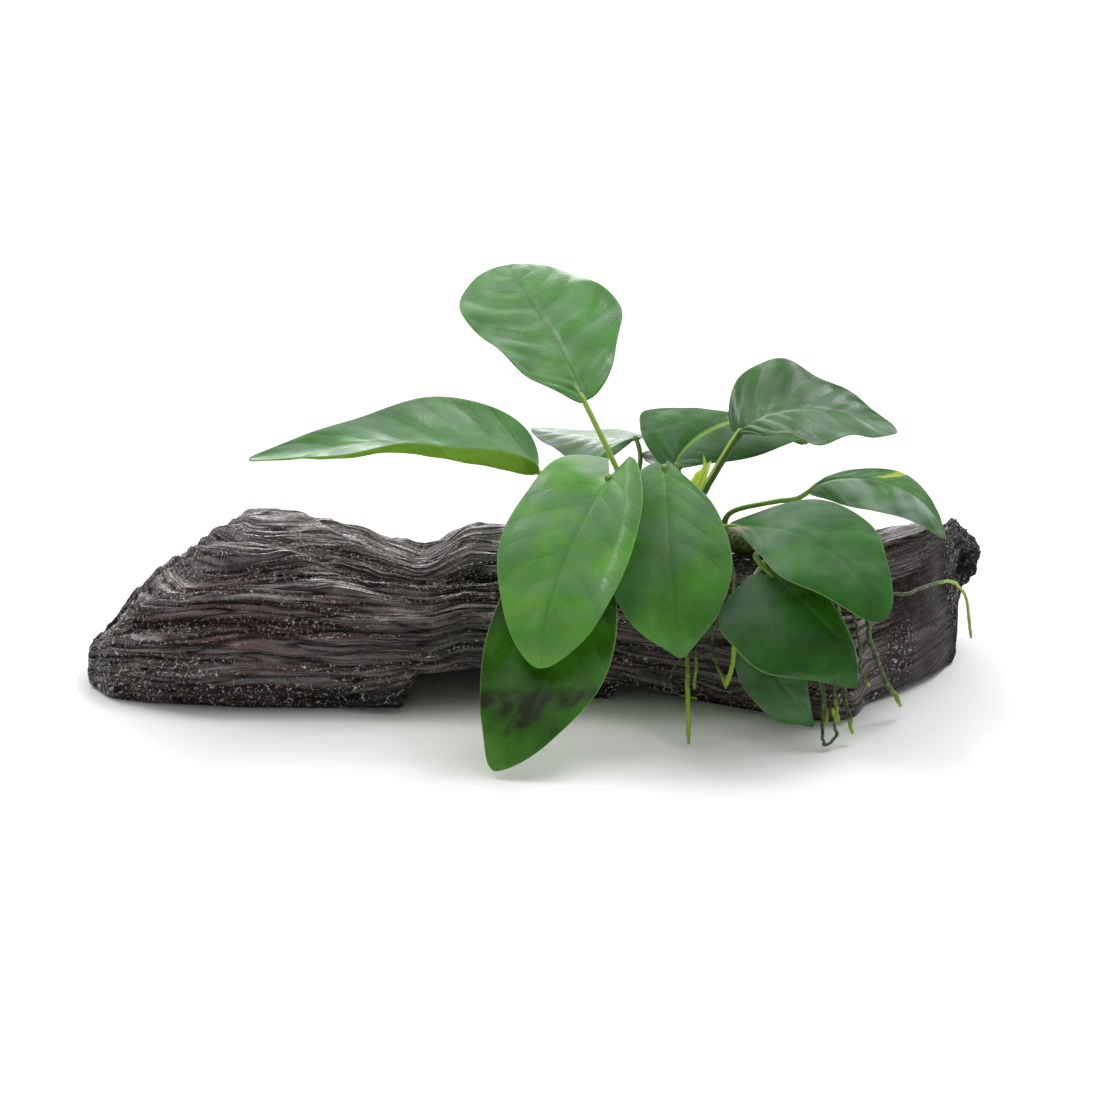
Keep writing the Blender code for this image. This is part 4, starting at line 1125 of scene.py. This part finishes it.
# %% [markdown]
# ## The creeping stem
#
# The rhizome lies along the top of the log. Rings of old leaf scars circle it, and its skin is a
# corky olive with brown patches.

# %% Rhizome
RHIZOME = [(21, -5, 39), (34, -5, 39.5), (44, -6, 39.5), (53, -7, 39), (64, -9, 38),
           (76, -13, 36.5)]
RHIZOME_RADIUS = 3.3
SCARS = 9.0
bark, tree, shader = start_material("corky_rhizome")
space = add(tree, "TexCoord", out="Object")
patches = add(tree, "TexNoise", {0: space, "Scale": every(2.4), "Detail": 4.0})
specks = add(tree, "TexNoise", {0: space, "Scale": every(0.9), "Detail": 3.0})
paint(tree, shader, "#434f20", [
    (patches, 0.38, 0.62, 0.0, 1.0, "#717d38"), (specks, 0.52, 0.64, 0.0, 1.0, "#34251a")])
shader.inputs["Roughness"].default_value = 0.45
bump = add(tree, "Bump", {"Strength": 0.9, "Distance": 0.4 * MM, "Height": specks})
tree.links.new(bump, shader.inputs["Normal"])
path = smooth_path(RHIZOME, 130)
steps = np.linspace(0.0, 1.0, len(path))
scarred = 0.9 + 0.1 * np.abs(np.sin(np.pi * SCARS * steps)) ** 0.5
scarred = scarred + 0.03 * np.sin(np.pi * 3.0 * SCARS * steps)
tapered = 1.0 - 0.35 * (1.0 - smooth(0.0, 0.06, steps)) - 0.35 * smooth(0.94, 1.0, steps)
strand("rhizome_scarred", "rhizome", path, RHIZOME_RADIUS * scarred * tapered, 32,
       bark, rough=0.05, grain=2.0, seed=3)
print("rhizome steps:", len(path))

# %% [markdown]
# ## Roots
#
# The roots are about a millimetre thick, rough, and olive to dark green where silt and algae cling
# to them. Only their growing tips are a fresh yellow-green. They hang over the front of the log and
# some reach below its edge.

# %% Root material and roots
ROOTS = {
    "long": (
        [(38, -5, 39), (39, -16, 37.5), (38.5, -27, 34), (39, -33, 27),
         (39, -40, 19), (39, -53, 1.2)],
        1.5, 1.3),
    "curl": (
        [(37, -29, 31), (38.5, -34, 24), (38, -36, 18), (35, -36, 13),
         (35.5, -35, 8), (42, -34, 5.5)],
        0.8, 0.7),
    "short": (
        [(42, -6, 39), (42, -18, 37), (42, -29, 33), (41.3, -35, 24), (41, -38, 10)],
        1.0, 0.9),
    "fork_left": (
        [(46, -6, 39), (46, -19, 37), (45.5, -31, 32), (45.5, -37, 21), (49, -40, 11)],
        1.1, 1.0),
    "fork_right": (
        [(50, -7, 39), (51, -21, 37), (51, -36, 33), (50.5, -42, 22), (49, -41.8, 12.5)],
        1.4, 1.5),
    "bunch_a": (
        [(67, -10, 37), (69, -26, 37), (71.5, -43, 31), (73, -48, 14), (74, -50.5, 5)],
        1.2, 1.0),
    "bunch_loop": (
        [(71, -46, 27), (72.2, -50.5, 14), (72.6, -53.5, 5), (73.4, -55, 1.8),
         (76.2, -53, 4), (75.2, -51, 10)],
        1.0, 0.9),
    "bunch_b": (
        [(70, -11, 37), (73, -27, 36.5), (74.5, -43, 30), (75.5, -48, 14), (77, -50, 6)],
        1.6, 1.3),
    "bunch_c": (
        [(73, -12, 37), (76, -28, 36), (78, -44, 28), (78.8, -48, 12), (80.5, -51, 3)],
        1.3, 1.2),
    "right_pair": (
        [(77, -13, 36), (83, -26, 36), (84, -41, 31), (86.5, -39.5, 20), (94.5, -34, 3.5)],
        1.6, 1.4),
    "right_side": (
        [(80.5, -43, 33), (82.3, -44, 24), (83, -43, 17), (85.5, -41, 12)],
        0.9, 0.8),
    "long_right": (
        [(90, -30, 33), (96, -26, 31.5), (102, -19, 31), (110, -8, 28),
         (114.8, -3.5, 21), (116.6, -1.5, 9.5)],
        1.1, 1.0),
}
FRESH_FROM = {"long": 0.80, "long_right": 0.45, "fork_right": 0.55, "curl": 0.9, "bunch_b": 0.8,
              "right_pair": 0.9}
MOSTLY_FRESH_FROM = 0.86
ROOT_SCALE = 0.44


def root_material(name, fresh_from):
    """A root's skin; the map's second direction runs from the stem to the tip."""
    material, tree, shader = start_material("silty_root_" + name)
    place = add(tree, "SeparateXYZ", {0: add(tree, "UVMap", uv_map="Grain")}, out=1)
    space = add(tree, "TexCoord", out="Object")
    lumps = add(tree, "TexNoise", {0: space, "Scale": every(1.1), "Detail": 4.0})
    grit = add(tree, "TexNoise", {0: space, "Scale": every(0.5), "Detail": 3.0})
    reached = add(tree, "Math", {0: lumps, 1: 0.2, 2: place}, operation="MULTIPLY_ADD")
    paint(tree, shader, "#1d2a0d", [
        (lumps, 0.38, 0.62, 0.0, 1.0, "#4c6424"),
        (reached, fresh_from + 0.08, fresh_from + 0.22, 0.0, 1.0, "#94b436")])
    shader.inputs["Roughness"].default_value = 0.42
    bump = add(tree, "Bump", {"Strength": 0.9, "Distance": 0.3 * MM, "Height": grit})
    tree.links.new(bump, shader.inputs["Normal"])
    return material


for number, (name, (knots, start, end)) in enumerate(ROOTS.items()):
    path = smooth_path(knots, 16 * len(knots))
    steps = np.linspace(0.0, 1.0, len(path))
    sway = smooth(0.0, 0.1, steps) * smooth(1.0, 0.9, steps)
    path[:, 0] += 0.35 * sway * field(steps * 11.0, 0.0, 0.0, 40 + number)
    path[:, 1] += 0.25 * sway * field(steps * 11.0, 0.0, 0.0, 60 + number)
    radii = ROOT_SCALE * (start + (end - start) * steps) * (1.0 - 0.3 * smooth(0.97, 1.0, steps))
    skinned = root_material(name, FRESH_FROM.get(name, MOSTLY_FRESH_FROM))
    strand("root_rough_" + name, "root_" + name, path, radii, 12, skinned,
           rough=0.16, grain=0.9, seed=number)
print("roots:", len(ROOTS))

# %% [markdown]
# ## Bud sheaths
#
# Two small sheaths stand beside the right-hand stalk. They are thin as paper, pointed and the
# brightest yellow-green of the plant.

# %% Sheaths
sheath, tree, shader = start_material("papery_sheath")
stretched = add(tree, "Mapping", {0: add(tree, "UVMap", uv_map="Grain"), 3: (10.0, 1.5, 1.0)})
streaks = add(tree, "TexNoise", {0: stretched, "Scale": 1.0})
colour = paint(tree, shader, "#e6f678", [(streaks, 0.4, 0.6, 0.0, 1.0, "#c6e04a")])
shader.inputs["Roughness"].default_value = 0.4
let_light_through(tree, shader, colour, 0.35)
SHEATHS = {
    "wide": ("sheath_large", [(39.5, -17, 53), (42, -15, 58), (45.5, -13, 63)],
             [1.0, 1.9, 1.7, 0.12], 0.5),
    "thin": ("sheath_hook", [(41.5, -19, 56), (43.6, -17, 62), (43.4, -17, 66)],
             [0.7, 0.8, 0.5, 0.1], 0.6),
}
SHEATH_STEPS = 30
for name, (node, knots, widths, flat) in SHEATHS.items():
    path = smooth_path(knots, SHEATH_STEPS)
    radii = np.interp(np.linspace(0.0, 1.0, SHEATH_STEPS), [0.0, 0.3, 0.65, 1.0], widths)
    strand("sheath_" + name, node, path, radii, 20, sheath, flat=flat)
print("sheaths:", len(SHEATHS))

# %% [markdown]
# ## Floor, light and camera
#
# The photograph was taken on a white table in a bright studio. The light comes from above and from
# behind, so the upper faces mirror something white and the front is lit only by what the room
# sends back. The floor is white paper.

# %% Floor
FLOOR_REACH = 4.0
corners = [(-1, -1), (1, -1), (1, 1), (-1, 1)]
corners = [(p * FLOOR_REACH, q * FLOOR_REACH, 0.0) for p, q in corners]
floor_mesh = bpy.data.meshes.new("floor")
floor_mesh.from_pydata(corners, [], [(0, 1, 2, 3)])
floor = bpy.data.objects.new("floor", floor_mesh)
bpy.context.scene.collection.objects.link(floor)
paper, tree, shader = start_material("white_paper")
shader.inputs["Base Color"].default_value = linear("#f3f3f3")
shader.inputs["Roughness"].default_value = 0.9
shader.inputs["Specular IOR Level"].default_value = 0.1
floor_mesh.materials.append(paper)
print("the floor reaches", FLOOR_REACH, "m each way")

# %% [markdown]
# The room is a smooth change from dim in front to bright above and behind. Two soft lamps hang
# above the table and a third stands behind it, which gives the upper faces their pale glare. Each
# lamp looks at the middle of the plant.

# %% Light
ROOM_DIM = 0.3
ROOM_BRIGHT = 1.15
BRIGHT_SIDE = (0.0, 0.6, 0.8)
world = bpy.data.worlds.new("studio_room")
world.use_nodes = True
tree = world.node_tree
direction = add(tree, "TexCoord", out="Generated")
towards = add(tree, "VectorMath", {0: direction, 1: BRIGHT_SIDE}, out="Value",
              operation="DOT_PRODUCT")
strength = add(tree, "MapRange", {0: towards, 1: 0.1, 2: 0.75, 3: ROOM_DIM, 4: ROOM_BRIGHT})
sky = tree.nodes["Background"]
sky.inputs["Color"].default_value = (1.0, 1.0, 1.0, 1.0)
tree.links.new(strength, sky.inputs["Strength"])
bpy.context.scene.world = world
LAMPS = {
    "soft_left": ((-0.5, 0.25, 1.0), 0.4, 3.2),
    "soft_right": ((0.5, 0.3, 0.95), 0.45, 5.0),
    "behind": ((-0.1, 0.95, 0.5), 0.5, 3.6),
}
PLANT_MIDDLE = Vector((0.0, 0.0, 0.04))
for name, (place, size, power) in LAMPS.items():
    data = bpy.data.lights.new(name, "AREA")
    data.size = size
    data.energy = power
    lamp = bpy.data.objects.new(name, data)
    lamp.location = place
    lamp.rotation_euler = (PLANT_MIDDLE - Vector(place)).to_track_quat("-Z", "Y").to_euler()
    bpy.context.scene.collection.objects.link(lamp)
print("lamps:", len(LAMPS), "watts:", sum(power for place, size, power in LAMPS.values()))

# %% [markdown]
# The camera looks down by 20 degrees from in front, through a long lens.

# %% Camera
CAMERA_PLACE = (0.004, -0.7612, 0.3110)
lens = bpy.data.cameras.new("camera")
lens.lens = 100.0
lens.sensor_width = 36.0
camera = bpy.data.objects.new("camera", lens)
camera.location = CAMERA_PLACE
camera.rotation_euler = (math.radians(90.0) - FALL, 0.0, 0.0)
bpy.context.scene.collection.objects.link(camera)
bpy.context.scene.camera = camera
bpy.context.scene.view_settings.view_transform = "Standard"
print("camera at", CAMERA_PLACE, "with a lens of", lens.lens, "mm")

# %% [markdown]
# ## Finish
#
# The last cell counts the triangles of all dressed pieces. The dressed model has to stay
# inside the box of the solids, apart from a small allowance.

# %% Count the triangles
print("triangles:", sum(sum(len(f.vertices) - 2 for f in p.data.polygons) for p in made_pieces))
